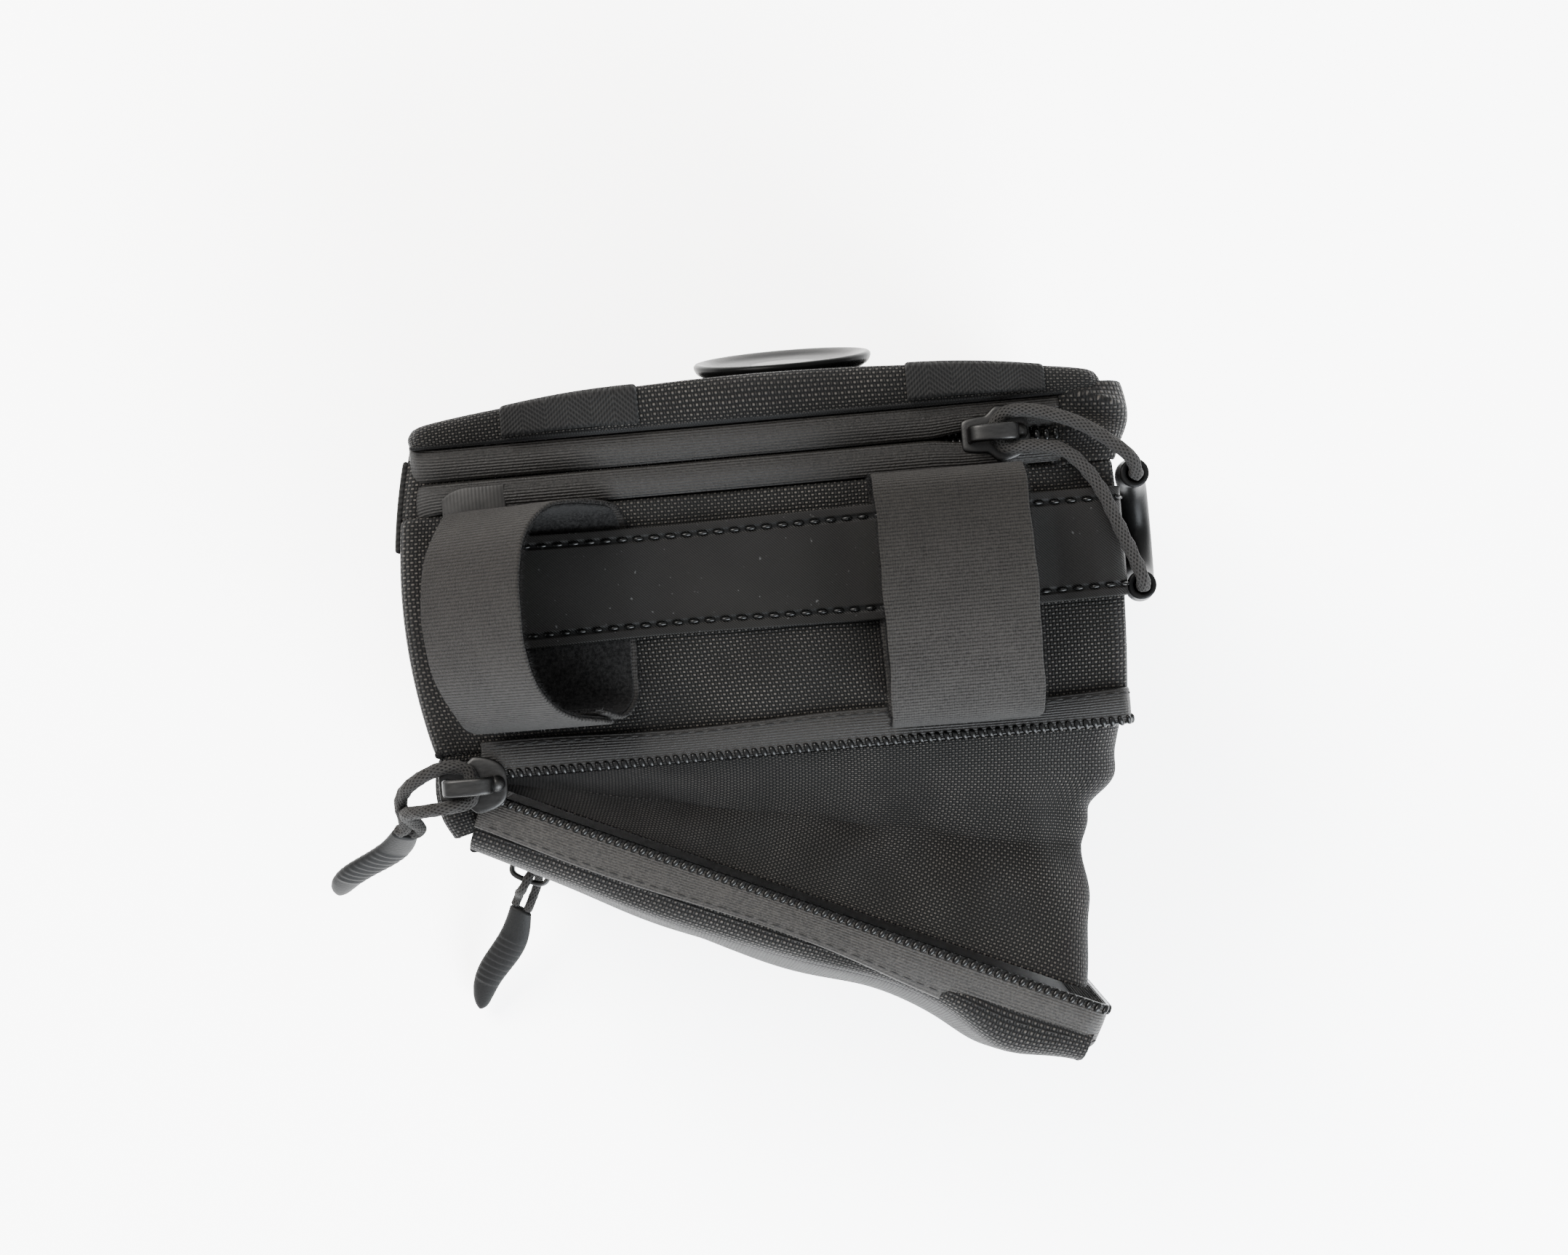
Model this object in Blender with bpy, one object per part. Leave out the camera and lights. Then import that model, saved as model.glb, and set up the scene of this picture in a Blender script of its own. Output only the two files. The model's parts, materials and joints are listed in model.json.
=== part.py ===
"""Expandable zipped strap-on pouch: a soft bag that hangs from a tube by two hook-and-loop straps.

Metres, +Z up. The origin lies on the underside of the base, below the middle of the main compartment.
+X runs along the bag, +Y to the padded back panel and -Y to the front compartment, which swings on its
left edge. It is drawn with the expansion zip open, so the front compartment stands away like a wedge.
"""
import math

import bmesh
import bpy
import numpy as np
from mathutils import Matrix, Vector

MM = 0.001
GAP = 0.3 * MM                      # clearance between pieces that touch

# Main compartment
LEFT, RIGHT = -78.0 * MM, 73.0 * MM
FRONT, REAR = -21.5 * MM, 45.5 * MM
TOP = 112.0 * MM                    # upper face of the top panel
WALL = 2.5 * MM
LEFT_BULGE, RIGHT_BULGE = 4.5 * MM, 1.5 * MM
BASE_SKIN, BASE_BOARD = 1.5 * MM, 2.0 * MM
FLOOR = BASE_SKIN + BASE_BOARD + 2 * GAP
BACK_SKIN, BACK_FOAM, BACK_LINING = 2.0 * MM, 4.0 * MM, 1.6 * MM
BACK_FACE = REAR + BACK_LINING + BACK_FOAM + BACK_SKIN + 3 * GAP
BACK_TOP = TOP + 1.5 * MM

# Zips: a tape carries a coil along its edge, and a closed pair of coils leaves a slit for the slider's post
TAPE = 1.0 * MM
COIL = 1.2 * MM
SLIT = 1.4 * MM
POST = 0.8 * MM
MAIN_SEAM_Y = 38.0 * MM
MAIN_ZIP = (-72.0 * MM, 64.0 * MM)
MAIN_TAPE_FRONT, MAIN_TAPE_REAR = 5.0 * MM, 7.0 * MM
MAIN_SLIDER_X = 49.5 * MM

# Expansion zip and the front compartment, drawn along the hinge's own X axis and then swung open
HINGE = Vector((-70.0 * MM, -27.5 * MM, 0.0))
OPEN_ANGLE = math.radians(24.0)
EXPANSION_TAPE = 6.2 * MM
FRONT_LENGTH = 146.0 * MM
FRONT_START = 3.0 * MM
INNER_FACE = 6.3 * MM               # from the hinge's plane to the front compartment's inner skin
SKIN = 1.5 * MM
TOP_DEPTH, BASE_DEPTH = 15.0 * MM, 26.0 * MM
FRONT_TOP = TOP - GAP

# Front pocket's zip, low on the outer face
POCKET_ZIP_Z = 28.0 * MM
POCKET_ZIP_HALF = 8.0 * MM
POCKET_ZIP = (5.0 * MM, 138.0 * MM)
POCKET_SLIDER = 12.0 * MM

# Straps, webbing and trim
STRAP_WIDTH, STRAP_THICK = 32.0 * MM, 1.5 * MM
STRAP_LEFT_X, STRAP_RIGHT_X = -48.0 * MM, 37.0 * MM
STRAP_LEAN = 0.7                    # how far the left strap leans to the left, per unit of height
ANCHOR = (0.2 * MM, 24.8 * MM)      # the anchor strip's front and rear edges
ANCHOR_THICK = 1.0 * MM
WEBBING_WIDTH, WEBBING_THICK = 30.0 * MM, 1.6 * MM
WEBBING_X = (-42.5 * MM, 46.0 * MM)
PUCK_RADIUS, PUCK_TILT = 21.0 * MM, math.radians(12.0)
PUCK_CENTRE = Vector((5.0 * MM, 60.8 * MM, TOP - 36.0 * MM))
CORD = 3.0 * MM
TUBE = 6.4 * MM


def clear_scene():
    for old in list(bpy.data.objects):
        bpy.data.objects.remove(old, do_unlink=True)


def material(name, colour, roughness, metallic=0.0):
    made = bpy.data.materials.new(name)
    made.use_nodes = True
    shader = made.node_tree.nodes["Principled BSDF"]
    shader.inputs["Base Color"].default_value = (*colour, 1.0)
    shader.inputs["Roughness"].default_value = roughness
    shader.inputs["Metallic"].default_value = metallic
    return made


def add(name, bm, colour, parent=None):
    """Closes a bmesh into an object whose faces point outwards."""
    bmesh.ops.recalc_face_normals(bm, faces=bm.faces)
    mesh = bpy.data.meshes.new(name)
    bm.to_mesh(mesh)
    bm.free()
    made = bpy.data.objects.new(name, mesh)
    bpy.context.scene.collection.objects.link(made)
    mesh.materials.append(colour)
    if parent:
        made.parent = parent
    return made


def prism(name, outline, axis, start, end, colour, parent=None):
    """A flat outline pushed along one axis. The outline holds the other two coordinates, in X, Y, Z order."""
    bm = bmesh.new()
    corners = []
    for first, second in outline:
        point = [first, second]
        point.insert(axis, start)
        corners.append(bm.verts.new(point))
    face = bm.faces.new(corners)
    pushed = bmesh.ops.extrude_face_region(bm, geom=[face])
    shift = [0.0, 0.0, 0.0]
    shift[axis] = end - start
    moved = [item for item in pushed["geom"] if isinstance(item, bmesh.types.BMVert)]
    bmesh.ops.translate(bm, vec=shift, verts=moved)
    return add(name, bm, colour, parent)


def block(name, low, high, colour, parent=None):
    """A plain box from its lowest to its highest corner."""
    outline = [(low[0], low[1]), (high[0], low[1]), (high[0], high[1]), (low[0], high[1])]
    return prism(name, outline, 2, low[2], high[2], colour, parent)


def bowed(x, y0, y1, bulge, thick, steps=8):
    """Outline of a wall that bows outwards between two corners: a shallow parabola and its parallel."""
    across = np.linspace(0.0, 1.0, steps + 1)
    bow = bulge * 4.0 * across * (1.0 - across)
    outer = [(x + b, y0 + a * (y1 - y0)) for a, b in zip(across, bow)]
    inner = [(px - thick, py) for px, py in reversed(outer)]
    return outer + inner


def smooth(points, count):
    """Catmull-Rom curve through a short list of points, read at even steps."""
    p = np.array(points, float)
    p = np.vstack([2 * p[0] - p[1], p, 2 * p[-1] - p[-2]])
    spans = len(p) - 3
    out = []
    for u in np.linspace(0.0, spans, count):
        k = min(int(u), spans - 1)
        t = u - k
        a, b, c, d = p[k:k + 4]
        out.append(0.5 * (2 * b + (c - a) * t + (2 * a - 5 * b + 4 * c - d) * t**2
                          + (3 * b - a - 3 * c + d) * t**3))
    return np.array(out)


def ribbon(name, path, thick, x0, x1, colour, parent=None, lean=0.0):
    """A strap: a band of even thickness along a path in the Y-Z plane, from x0 to x1, leaning with height."""
    along = np.gradient(path, axis=0)
    along /= np.linalg.norm(along, axis=1)[:, None]
    side = np.stack([-along[:, 1], along[:, 0]], axis=1) * thick / 2
    bm = bmesh.new()
    rings = []
    for centre, off in zip(path, side):
        ring = []
        for (y, z), x in ((centre + off, x0), (centre + off, x1), (centre - off, x1), (centre - off, x0)):
            ring.append(bm.verts.new((x - lean * (z - TOP), y, z)))
        rings.append(ring)
    for one, two in zip(rings, rings[1:]):
        for k in range(4):
            bm.faces.new((one[k], one[(k + 1) % 4], two[(k + 1) % 4], two[k]))
    bm.faces.new(rings[0][::-1])
    bm.faces.new(rings[-1])
    return add(name, bm, colour, parent)


def cord(name, points, diameter, colour, parent=None, count=48, resolution=2):
    """A round cord or hose along a smooth curve through its route's points."""
    curve = bpy.data.curves.new(name, "CURVE")
    curve.dimensions = "3D"
    curve.bevel_depth = diameter / 2
    curve.bevel_resolution = resolution
    curve.use_fill_caps = True
    line = smooth(points, count)
    spline = curve.splines.new("POLY")
    spline.points.add(len(line) - 1)
    for point, place in zip(spline.points, line):
        point.co = (*place, 1.0)
    curve.materials.append(colour)
    made = bpy.data.objects.new(name, curve)
    bpy.context.scene.collection.objects.link(made)
    if parent:
        made.parent = parent
    return made


def axis_empty(name, place, parent=None, turn=0.0):
    """An empty on a joint's axis, which carries the pieces that move with it."""
    made = bpy.data.objects.new(name, None)
    bpy.context.scene.collection.objects.link(made)
    made.empty_display_size = 0.01
    made.location = place
    made.rotation_euler = (0.0, 0.0, turn)
    made.parent = parent
    return made


def main_shell(weave, board, foam, lining):
    """Base, walls, padded back and top of the main compartment, each a sewn panel of its own."""
    corner = 6.0 * MM
    block("base_skin", (LEFT, FRONT, 0.0), (RIGHT, BACK_FACE, BASE_SKIN), weave)
    block("base_board", (LEFT + corner, FRONT + corner, BASE_SKIN + GAP),
          (RIGHT - corner, REAR - corner, FLOOR - GAP), board)
    wall_top = TOP - WALL - GAP
    y0, y1 = FRONT, REAR - GAP
    left = [(-x, y) for x, y in bowed(-LEFT, y0, y1, LEFT_BULGE, WALL)]
    prism("left_wall", left, 2, FLOOR, TOP, weave)
    prism("right_wall", bowed(RIGHT, y0, y1, RIGHT_BULGE, WALL), 2, FLOOR, TOP, weave)
    inside = (LEFT + WALL + GAP, RIGHT - WALL - GAP)
    block("divider_panel", (inside[0], FRONT, FLOOR), (inside[1], FRONT + WALL, wall_top), lining)
    tape_edge = MAIN_SEAM_Y - SLIT / 2 - COIL - MAIN_TAPE_FRONT
    block("top_panel", (inside[0], FRONT, TOP - WALL), (inside[1], tape_edge - GAP, TOP), weave)
    y = REAR
    for name, thick, colour in (("back_lining", BACK_LINING, lining), ("back_foam", BACK_FOAM, foam),
                                ("back_skin", BACK_SKIN, weave)):
        inset = 2.0 * MM if name == "back_foam" else 0.0
        block(name, (LEFT + inset, y, BASE_SKIN + GAP + inset), (RIGHT - inset, y + thick, BACK_TOP - inset), colour)
        y += thick + GAP


def main_zip(tape, coil, patch):
    """The top opening's zip: two coated tapes, their coils below the edges, and the sealed end patch."""
    x0, x1 = MAIN_ZIP
    for name, sign, width in (("front", -1, MAIN_TAPE_FRONT), ("rear", 1, MAIN_TAPE_REAR)):
        edge = MAIN_SEAM_Y + sign * SLIT / 2
        far = edge + sign * (width + (0.0 if name == "rear" else COIL))
        low, high = sorted((edge, far))
        high = min(high, REAR - GAP)
        block(f"main_zip_tape_{name}", (x0, low, TOP - TAPE), (x1, high, TOP), tape)
        low, high = sorted((edge, edge + sign * COIL))
        block(f"main_zip_coil_{name}", (x0, low, TOP - TAPE - GAP - COIL), (x1, high, TOP - TAPE - GAP), coil)
    block("main_zip_end_patch", (x0, MAIN_SEAM_Y - 11.0 * MM, TOP + GAP), (x0 + 14.0 * MM, MAIN_SEAM_Y - 1.5 * MM,
          TOP + GAP + 0.8 * MM), patch)


def slider(name, colour, parent, channel, thick=1.2 * MM):
    """A zip slider at its parent's origin: two wings joined by a thin post, with a pull bridge on top.

    channel is the height, below and above the origin, that the tapes and coils need between the wings.
    """
    low, high = channel
    half_post, half_long, half_wide = POST / 2, 6.0 * MM, 5.0 * MM
    outline = [(-half_wide, high), (-half_post, high), (-half_post, low), (-4.2 * MM, low),
               (-4.2 * MM, low - thick), (4.2 * MM, low - thick), (4.2 * MM, low), (half_post, low),
               (half_post, high), (half_wide, high), (half_wide, high + thick), (-half_wide, high + thick)]
    body = prism(name, outline, 0, -half_long, half_long, colour, parent)
    foot, rise, bar = high + thick, 4.5 * MM, 1.2 * MM
    arch = [(-5.2 * MM, foot - 0.5 * MM), (-5.2 * MM, foot + rise), (-3.6 * MM, foot + rise + bar),
            (3.6 * MM, foot + rise + bar), (5.2 * MM, foot + rise), (5.2 * MM, foot - 0.5 * MM),
            (3.8 * MM, foot - 0.5 * MM), (3.8 * MM, foot + rise - 0.6 * MM), (-3.8 * MM, foot + rise - 0.6 * MM),
            (-3.8 * MM, foot - 0.5 * MM)]
    bridge = prism(f"{name}_bridge_tool", arch, 1, -1.5 * MM, 1.5 * MM, colour, parent)
    join = body.modifiers.new("bridge", "BOOLEAN")
    join.operation = "UNION"
    join.object = bridge
    bridge.hide_render = True
    bridge.display_type = "WIRE"
    return body


def pull_tab(name, colour, place, length, width, thick, sway):
    """A moulded rubber tab along its own +X, rounded at the far end and swaying in a shallow S."""
    bm = bmesh.new()
    steps = np.linspace(0.0, 1.0, 13)
    half = width / 2 * (0.72 + 0.28 * np.sin(np.pi * np.clip(steps * 1.15, 0.0, 1.0)))
    half[-3:] = width / 2 * np.array([0.9, 0.7, 0.35])
    middle = sway * np.sin(2 * np.pi * steps)
    upper = [(length * s, m + h) for s, m, h in zip(steps, middle, half)]
    lower = [(length * s, m - h) for s, m, h in zip(steps, middle, half)]
    bottom = [bm.verts.new((x, y, -thick / 2)) for x, y in upper + lower[::-1]]
    face = bm.faces.new(bottom)
    pushed = bmesh.ops.extrude_face_region(bm, geom=[face])
    moved = [item for item in pushed["geom"] if isinstance(item, bmesh.types.BMVert)]
    bmesh.ops.translate(bm, vec=(0.0, 0.0, thick), verts=moved)
    bmesh.ops.transform(bm, matrix=place, verts=bm.verts)
    return add(name, bm, colour)


def strand_ends(place, side):
    """Where one of a pull's two strands ends, square to its tab, and the point it comes straight from."""
    across = side * 1.8 * MM
    return [tuple(place @ Vector((-0.5 * MM, across, 0.0))), tuple(place @ Vector((-3.5 * MM, across, 0.0)))]


def aim(start, end, up=Vector((0.0, 0.0, 1.0))):
    """Placement that carries the +X axis from start towards end, with +Z as near to up as it can be."""
    x = (end - start).normalized()
    y = up.cross(x).normalized()
    z = x.cross(y)
    turn = Matrix((x, y, z)).transposed().to_4x4()
    return Matrix.Translation(start) @ turn


def in_place(parent, made):
    """Hangs a piece that is drawn in world coordinates on its joint's empty, without moving it."""
    bpy.context.view_layer.update()
    made.parent = parent
    made.matrix_parent_inverse = parent.matrix_world.inverted()
    return made


def main_slider_and_pull(metal, black_cord, hose):
    """The main zip's slider, and its pull: a cord through the bridge into both ends of a bent hose."""
    seat = axis_empty("main_slide_axis", (MAIN_SLIDER_X, MAIN_SEAM_Y, TOP))
    slider("main_slider", metal, seat, (-TAPE - COIL - 3 * GAP, GAP))
    lift = TOP + 3.3 * MM
    swing = axis_empty("main_pull_axis", (MAIN_SLIDER_X, MAIN_SEAM_Y, lift))
    rear = (79.3 * MM, 27.0 * MM)
    fore = (78.8 * MM, 2.5 * MM)
    top = TOP - 1.0 * MM
    route = [(*rear, top + 0.5 * MM), (*rear, top + 2.6 * MM), (77.0 * MM, 31.0 * MM, TOP + 5.0 * MM),
             (68.0 * MM, 37.8 * MM, TOP + 6.2 * MM), (59.0 * MM, 41.6 * MM, TOP + 5.4 * MM),
             (53.0 * MM, 42.4 * MM, TOP + 3.9 * MM), (49.8 * MM, 40.6 * MM, lift + 0.1 * MM),
             (49.3 * MM, 37.4 * MM, lift + 0.1 * MM), (51.4 * MM, 34.6 * MM, TOP + 3.9 * MM),
             (57.0 * MM, 34.4 * MM, TOP + 5.0 * MM), (64.0 * MM, 32.4 * MM, TOP + 5.6 * MM),
             (70.0 * MM, 25.0 * MM, TOP + 5.6 * MM), (74.5 * MM, 14.0 * MM, TOP + 5.2 * MM),
             (77.8 * MM, 5.6 * MM, TOP + 4.0 * MM), (*fore, top + 2.6 * MM), (*fore, top + 0.5 * MM)]
    in_place(swing, cord("main_pull_cord", route, CORD, black_cord, count=64))
    bend = [(*rear, top), (79.3 * MM, 27.0 * MM, TOP - 8.0 * MM), (81.2 * MM, 24.0 * MM, TOP - 16.5 * MM),
            (82.2 * MM, 15.0 * MM, TOP - 21.5 * MM), (81.2 * MM, 5.6 * MM, TOP - 16.5 * MM),
            (79.4 * MM, 2.2 * MM, TOP - 8.0 * MM), (*fore, top)]
    in_place(swing, cord("main_pull_tube", bend, TUBE, hose, count=29, resolution=3))


def trim(coated, webbing, moulded, weave):
    """Anchor strip over the straps, webbing loops over the back's top edge, side webbing and rear puck."""
    z = TOP + STRAP_THICK + 2 * GAP
    block("anchor_strip", (LEFT + 3.0 * MM, ANCHOR[0], z), (RIGHT, ANCHOR[1], z + ANCHOR_THICK), coated)
    over = WEBBING_THICK / 2 + GAP
    for name, x in zip(("left", "right"), WEBBING_X):
        turn = np.radians(np.linspace(90.0, 0.0, 6))
        path = np.array([(REAR + 0.9 * MM, BACK_TOP + over)]
                        + [(BACK_FACE + over * math.cos(a), BACK_TOP + over * math.sin(a)) for a in turn]
                        + [(BACK_FACE + over, TOP - 70.0 * MM)])
        half = WEBBING_WIDTH / 2
        ribbon(f"webbing_loop_{name}", path, WEBBING_THICK, x - half, x + half, webbing)
    side = [(-x, y) for x, y in bowed(-LEFT, FRONT, REAR - GAP, LEFT_BULGE, 0.0, 40)[:41]]
    band = [point for point in side if 23.0 * MM < point[1] < 44.0 * MM]
    outer = [(x - GAP - 1.4 * MM, y) for x, y in reversed(band)]
    inner = [(x - GAP, y) for x, y in band]
    prism("left_side_webbing", inner + outer, 2, 12.0 * MM, TOP - 3.0 * MM, webbing)
    rear_puck(moulded)


def rear_puck(moulded):
    """A dished round puck, tipped a little upwards, on a plinth that is cut flush with the back panel."""
    tip = Matrix.Rotation(-math.pi / 2 + PUCK_TILT, 4, "X")
    place = Matrix.Translation(PUCK_CENTRE) @ tip
    radius = PUCK_RADIUS
    profile = [(0.0, -2.0 * MM), (radius - 5.0 * MM, -2.0 * MM), (radius - 0.8 * MM, 0.2 * MM), (radius, 1.4 * MM),
               (radius - 0.4 * MM, 2.4 * MM), (radius - 2.4 * MM, 2.2 * MM), (radius - 6.0 * MM, 0.9 * MM),
               (0.0, 0.3 * MM)]
    steps = 32
    for name, outline in (("rear_puck", profile), ("rear_puck_plinth", [(0.0, -16.0 * MM), (11.0 * MM, -16.0 * MM),
                                                                        (11.0 * MM, -2.3 * MM), (0.0, -2.3 * MM)])):
        bm = bmesh.new()
        rings = []
        for r, z in outline:
            if r == 0.0:
                rings.append([bm.verts.new((0.0, 0.0, z))])
                continue
            turn = 2 * np.pi * np.arange(steps) / steps
            rings.append([bm.verts.new((r * math.cos(a), r * math.sin(a), z)) for a in turn])
        for one, two in zip(rings, rings[1:]):
            for k in range(steps):
                n = (k + 1) % steps
                corners = [one[k % len(one)], one[n % len(one)], two[n % len(two)], two[k % len(two)]]
                bm.faces.new(list(dict.fromkeys(corners)))
        bmesh.ops.transform(bm, matrix=place, verts=bm.verts)
        if name == "rear_puck_plinth":
            parts = bm.verts[:] + bm.edges[:] + bm.faces[:]
            cut = bmesh.ops.bisect_plane(bm, geom=parts, plane_co=(0.0, BACK_FACE + GAP, 0.0),
                                         plane_no=(0.0, 1.0, 0.0), clear_inner=True)
            edges = [item for item in cut["geom_cut"] if isinstance(item, bmesh.types.BMEdge)]
            bmesh.ops.contextual_create(bm, geom=edges)
        add(name, bm, moulded)


def strap_loop(side, x, lean, lower, upper, colour):
    """One hook-and-loop strap: the sewn loop below, and the end that peels back about the rear fold."""
    half = STRAP_WIDTH / 2
    lift = np.array([0.0, TOP])
    path = smooth(lower, 30) * MM + lift
    ribbon(f"strap_{side}_loop", path, STRAP_THICK, x - half, x + half, colour, lean=lean)
    fold = upper[0]
    shift = -lean * fold[1] * MM
    hinge = axis_empty(f"strap_{side}_fold_axis", (x + shift, fold[0] * MM, fold[1] * MM + TOP))
    path = smooth(upper, 26) * MM + lift
    made = ribbon(f"strap_{side}_end", path, STRAP_THICK, x - half, x + half, colour, lean=lean)
    in_place(hinge, made)


def straps(hook_and_loop):
    """Two straps under the anchor strip. The right one stands square, the left one leans outwards."""
    run = STRAP_THICK / 2 / MM + GAP / MM
    strap_loop("right", STRAP_RIGHT_X, 0.0,
               [(-20.3, 13.5), (-20.8, 8.0), (-18.2, 2.6), (-12.0, run), (4.0, run), (20.0, run), (25.3, run),
                (29.2, 4.4), (30.0, 11.4)],
               [(30.1, 12.0), (29.4, 17.0), (25.6, 21.4), (14.0, 24.2), (0.0, 25.0), (-12.0, 23.4), (-20.6, 18.4),
                (-22.8, 11.0)], hook_and_loop)
    strap_loop("left", STRAP_LEFT_X, STRAP_LEAN,
               [(-14.2, 12.0), (-15.6, 6.6), (-12.4, 2.2), (-6.0, run), (6.0, run), (20.0, run), (25.3, run),
                (29.2, 4.6), (30.0, 12.6)],
               [(30.1, 13.2), (28.6, 21.0), (21.0, 28.4), (8.0, 31.0), (-5.0, 28.6), (-13.6, 20.6), (-16.6, 10.0)],
               hook_and_loop)


def turned_down(name, x0, x1, y0, y1, z, drop, thick, colour, parent=None):
    """A band along the top that turns down over the right-hand end, as a zip's tape or coil does."""
    corner = thick + 0.2 * MM
    turn = np.radians(np.linspace(90.0, 0.0, 5))
    outer = [(x1 - corner + corner * math.cos(a), z - corner + corner * math.sin(a)) for a in turn]
    small = corner - thick
    inner = [(x1 - corner + small * math.cos(a), z - corner + small * math.sin(a)) for a in turn]
    outline = [(x0, z)] + outer + [(x1, z - drop), (x1 - thick, z - drop)] + inner[::-1] + [(x0, z - thick)]
    return prism(name, outline, 1, y0, y1, colour, parent)


def expansion_zip(tape, coil, front):
    """Both halves of the expansion zip: the rear half on the main compartment, the front half on the wedge."""
    top = TOP + GAP + TAPE
    drop = 98.0 * MM
    rise = 0.2 * MM
    seam = HINGE.y
    turned_down("expansion_zip_tape_rear", -68.0 * MM, RIGHT + GAP + TAPE, seam + COIL + GAP, FRONT + 2.0 * MM,
                top, drop, TAPE, tape)
    turned_down("expansion_zip_coil_rear", -64.0 * MM, RIGHT + GAP + TAPE + rise, seam, seam + COIL,
                top + rise, drop, TAPE + rise, coil)
    reach = FRONT_LENGTH + GAP + TAPE
    turned_down("expansion_zip_tape_front", FRONT_START, reach, -SLIT - COIL - GAP - EXPANSION_TAPE - 0.6 * MM,
                -SLIT - COIL - GAP, top, drop, TAPE, tape, front)
    turned_down("expansion_zip_coil_front", 6.0 * MM, reach + rise, -SLIT - COIL, -SLIT, top + rise, drop,
                TAPE + rise, coil, front)


def front_depth(z):
    """Depth of the front compartment's outer face below the hinge's plane: it leans out towards the base."""
    return BASE_DEPTH + (TOP_DEPTH - BASE_DEPTH) * z / TOP


def front_compartment(weave, lining, tape, coil, front):
    """The swinging compartment: inner skin, outer skin split by the pocket's zip, and a band on all four sides."""
    x0, x1 = FRONT_START, FRONT_LENGTH
    block("front_inner_panel", (x0, -INNER_FACE - SKIN, 0.0), (x1, -INNER_FACE, FRONT_TOP), lining, front)
    near = -INNER_FACE - SKIN - GAP

    def outer(name, z0, z1, thick, x_from, x_to, colour, proud=0.0):
        a, b = -front_depth(z0) - proud, -front_depth(z1) - proud
        outline = [(a, z0), (a + thick, z0), (b + thick, z1), (b, z1)]
        return prism(name, outline, 0, x_from, x_to, colour, front)

    low, high = POCKET_ZIP_Z - POCKET_ZIP_HALF, POCKET_ZIP_Z + POCKET_ZIP_HALF
    outer("front_outer_lower", 0.0, low - GAP, SKIN, x0, x1, weave)
    outer("front_outer_upper", high + GAP, FRONT_TOP, SKIN, x0, x1, weave)
    slit = SLIT / 2
    outer("pocket_zip_tape_lower", low, POCKET_ZIP_Z - slit - COIL - GAP, TAPE, *POCKET_ZIP, tape)
    outer("pocket_zip_tape_upper", POCKET_ZIP_Z + slit + COIL + GAP, high, TAPE, *POCKET_ZIP, tape)
    outer("pocket_zip_coil_lower", POCKET_ZIP_Z - slit - COIL, POCKET_ZIP_Z - slit, COIL, *POCKET_ZIP, coil)
    outer("pocket_zip_coil_upper", POCKET_ZIP_Z + slit, POCKET_ZIP_Z + slit + COIL, COIL, *POCKET_ZIP, coil)

    def band(name, z0, z1, x_from, x_to):
        inset = SKIN + GAP
        outline = [(-front_depth(z0) + inset, z0), (near, z0), (near, z1), (-front_depth(z1) + inset, z1)]
        return prism(name, outline, 0, x_from, x_to, weave, front)

    band("front_band_base", 0.0, SKIN, x0, x1)
    band("front_band_top", FRONT_TOP - SKIN, FRONT_TOP, x0, x1)
    band("front_band_left", SKIN + GAP, FRONT_TOP - SKIN - GAP, x0, x0 + SKIN)
    band("front_band_right", SKIN + GAP, FRONT_TOP - SKIN - GAP, x1 - SKIN, x1)


def bellows(weave):
    """The expansion gusset: one sheet swung about the hinge, over the top, down the free end and back below.

    Across the wedge it sags to a crease in the middle, which grows from nothing at the hinge to the free end.
    """
    reach, near, corner = 139.0 * MM, 12.0 * MM, 8.0 * MM
    high, low = TOP - 2.4 * MM, 2.0 * MM
    turn = np.radians(np.linspace(80.0, 10.0, 4))
    profile = [(near, high), (40.0 * MM, high), (75.0 * MM, high), (110.0 * MM, high)]
    profile += [(reach - corner + corner * math.cos(a), high - corner + corner * math.sin(a)) for a in turn]
    profile += [(reach, z) for z in np.linspace(high - 20.0 * MM, low + 20.0 * MM, 4)]
    profile += [(reach - corner + corner * math.cos(a), low + corner - corner * math.sin(a)) for a in turn[::-1]]
    profile += [(110.0 * MM, low), (75.0 * MM, low), (40.0 * MM, low), (near, low)]
    across = np.linspace(0.0, 1.0, 9)
    bm = bmesh.new()
    grid = []
    for r, z in profile:
        row = []
        for u in across:
            fold = (1.0 - abs(2 * u - 1)) * (r - near) / (reach - near)
            over = np.clip((z - 0.75 * TOP) / (0.25 * TOP), 0.0, 1.0)
            out = np.clip((r - 0.85 * reach) / (0.15 * reach), 0.0, 1.0)
            radius = r - 6.0 * MM * fold * out
            height = z - 20.0 * MM * fold * over + 4.0 * MM * fold * (1.0 - over) * (z < 0.2 * TOP)
            swing = -OPEN_ANGLE * u
            row.append(bm.verts.new((HINGE.x + radius * math.cos(swing), HINGE.y + radius * math.sin(swing), height)))
        grid.append(row)
    for one, two in zip(grid, grid[1:]):
        for k in range(len(across) - 1):
            bm.faces.new((one[k], one[k + 1], two[k + 1], two[k]))
    made = add("expansion_gusset", bm, weave)
    sheet = made.modifiers.new("cloth", "SOLIDIFY")
    sheet.thickness = 1.0 * MM
    sheet.offset = 0.0
    return made


def side_fold(weave):
    """The strip of shell fabric that joins the left wall to the front compartment and folds as it swings."""
    start = (LEFT + 0.4 * MM, FRONT - GAP)
    route = smooth([start, (LEFT - 0.9 * MM, FRONT - 4.0 * MM), (LEFT - 1.2 * MM, FRONT - 9.0 * MM),
                    (LEFT - 0.2 * MM, FRONT - 14.0 * MM), (LEFT + 2.2 * MM, FRONT - 18.5 * MM)], 9)
    outer = [(x, y) for x, y in route]
    inner = [(x + 1.4 * MM, y) for x, y in reversed(route)]
    return prism("side_fold", outer + inner, 2, FLOOR, TOP - 4.0 * MM, weave)


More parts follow.
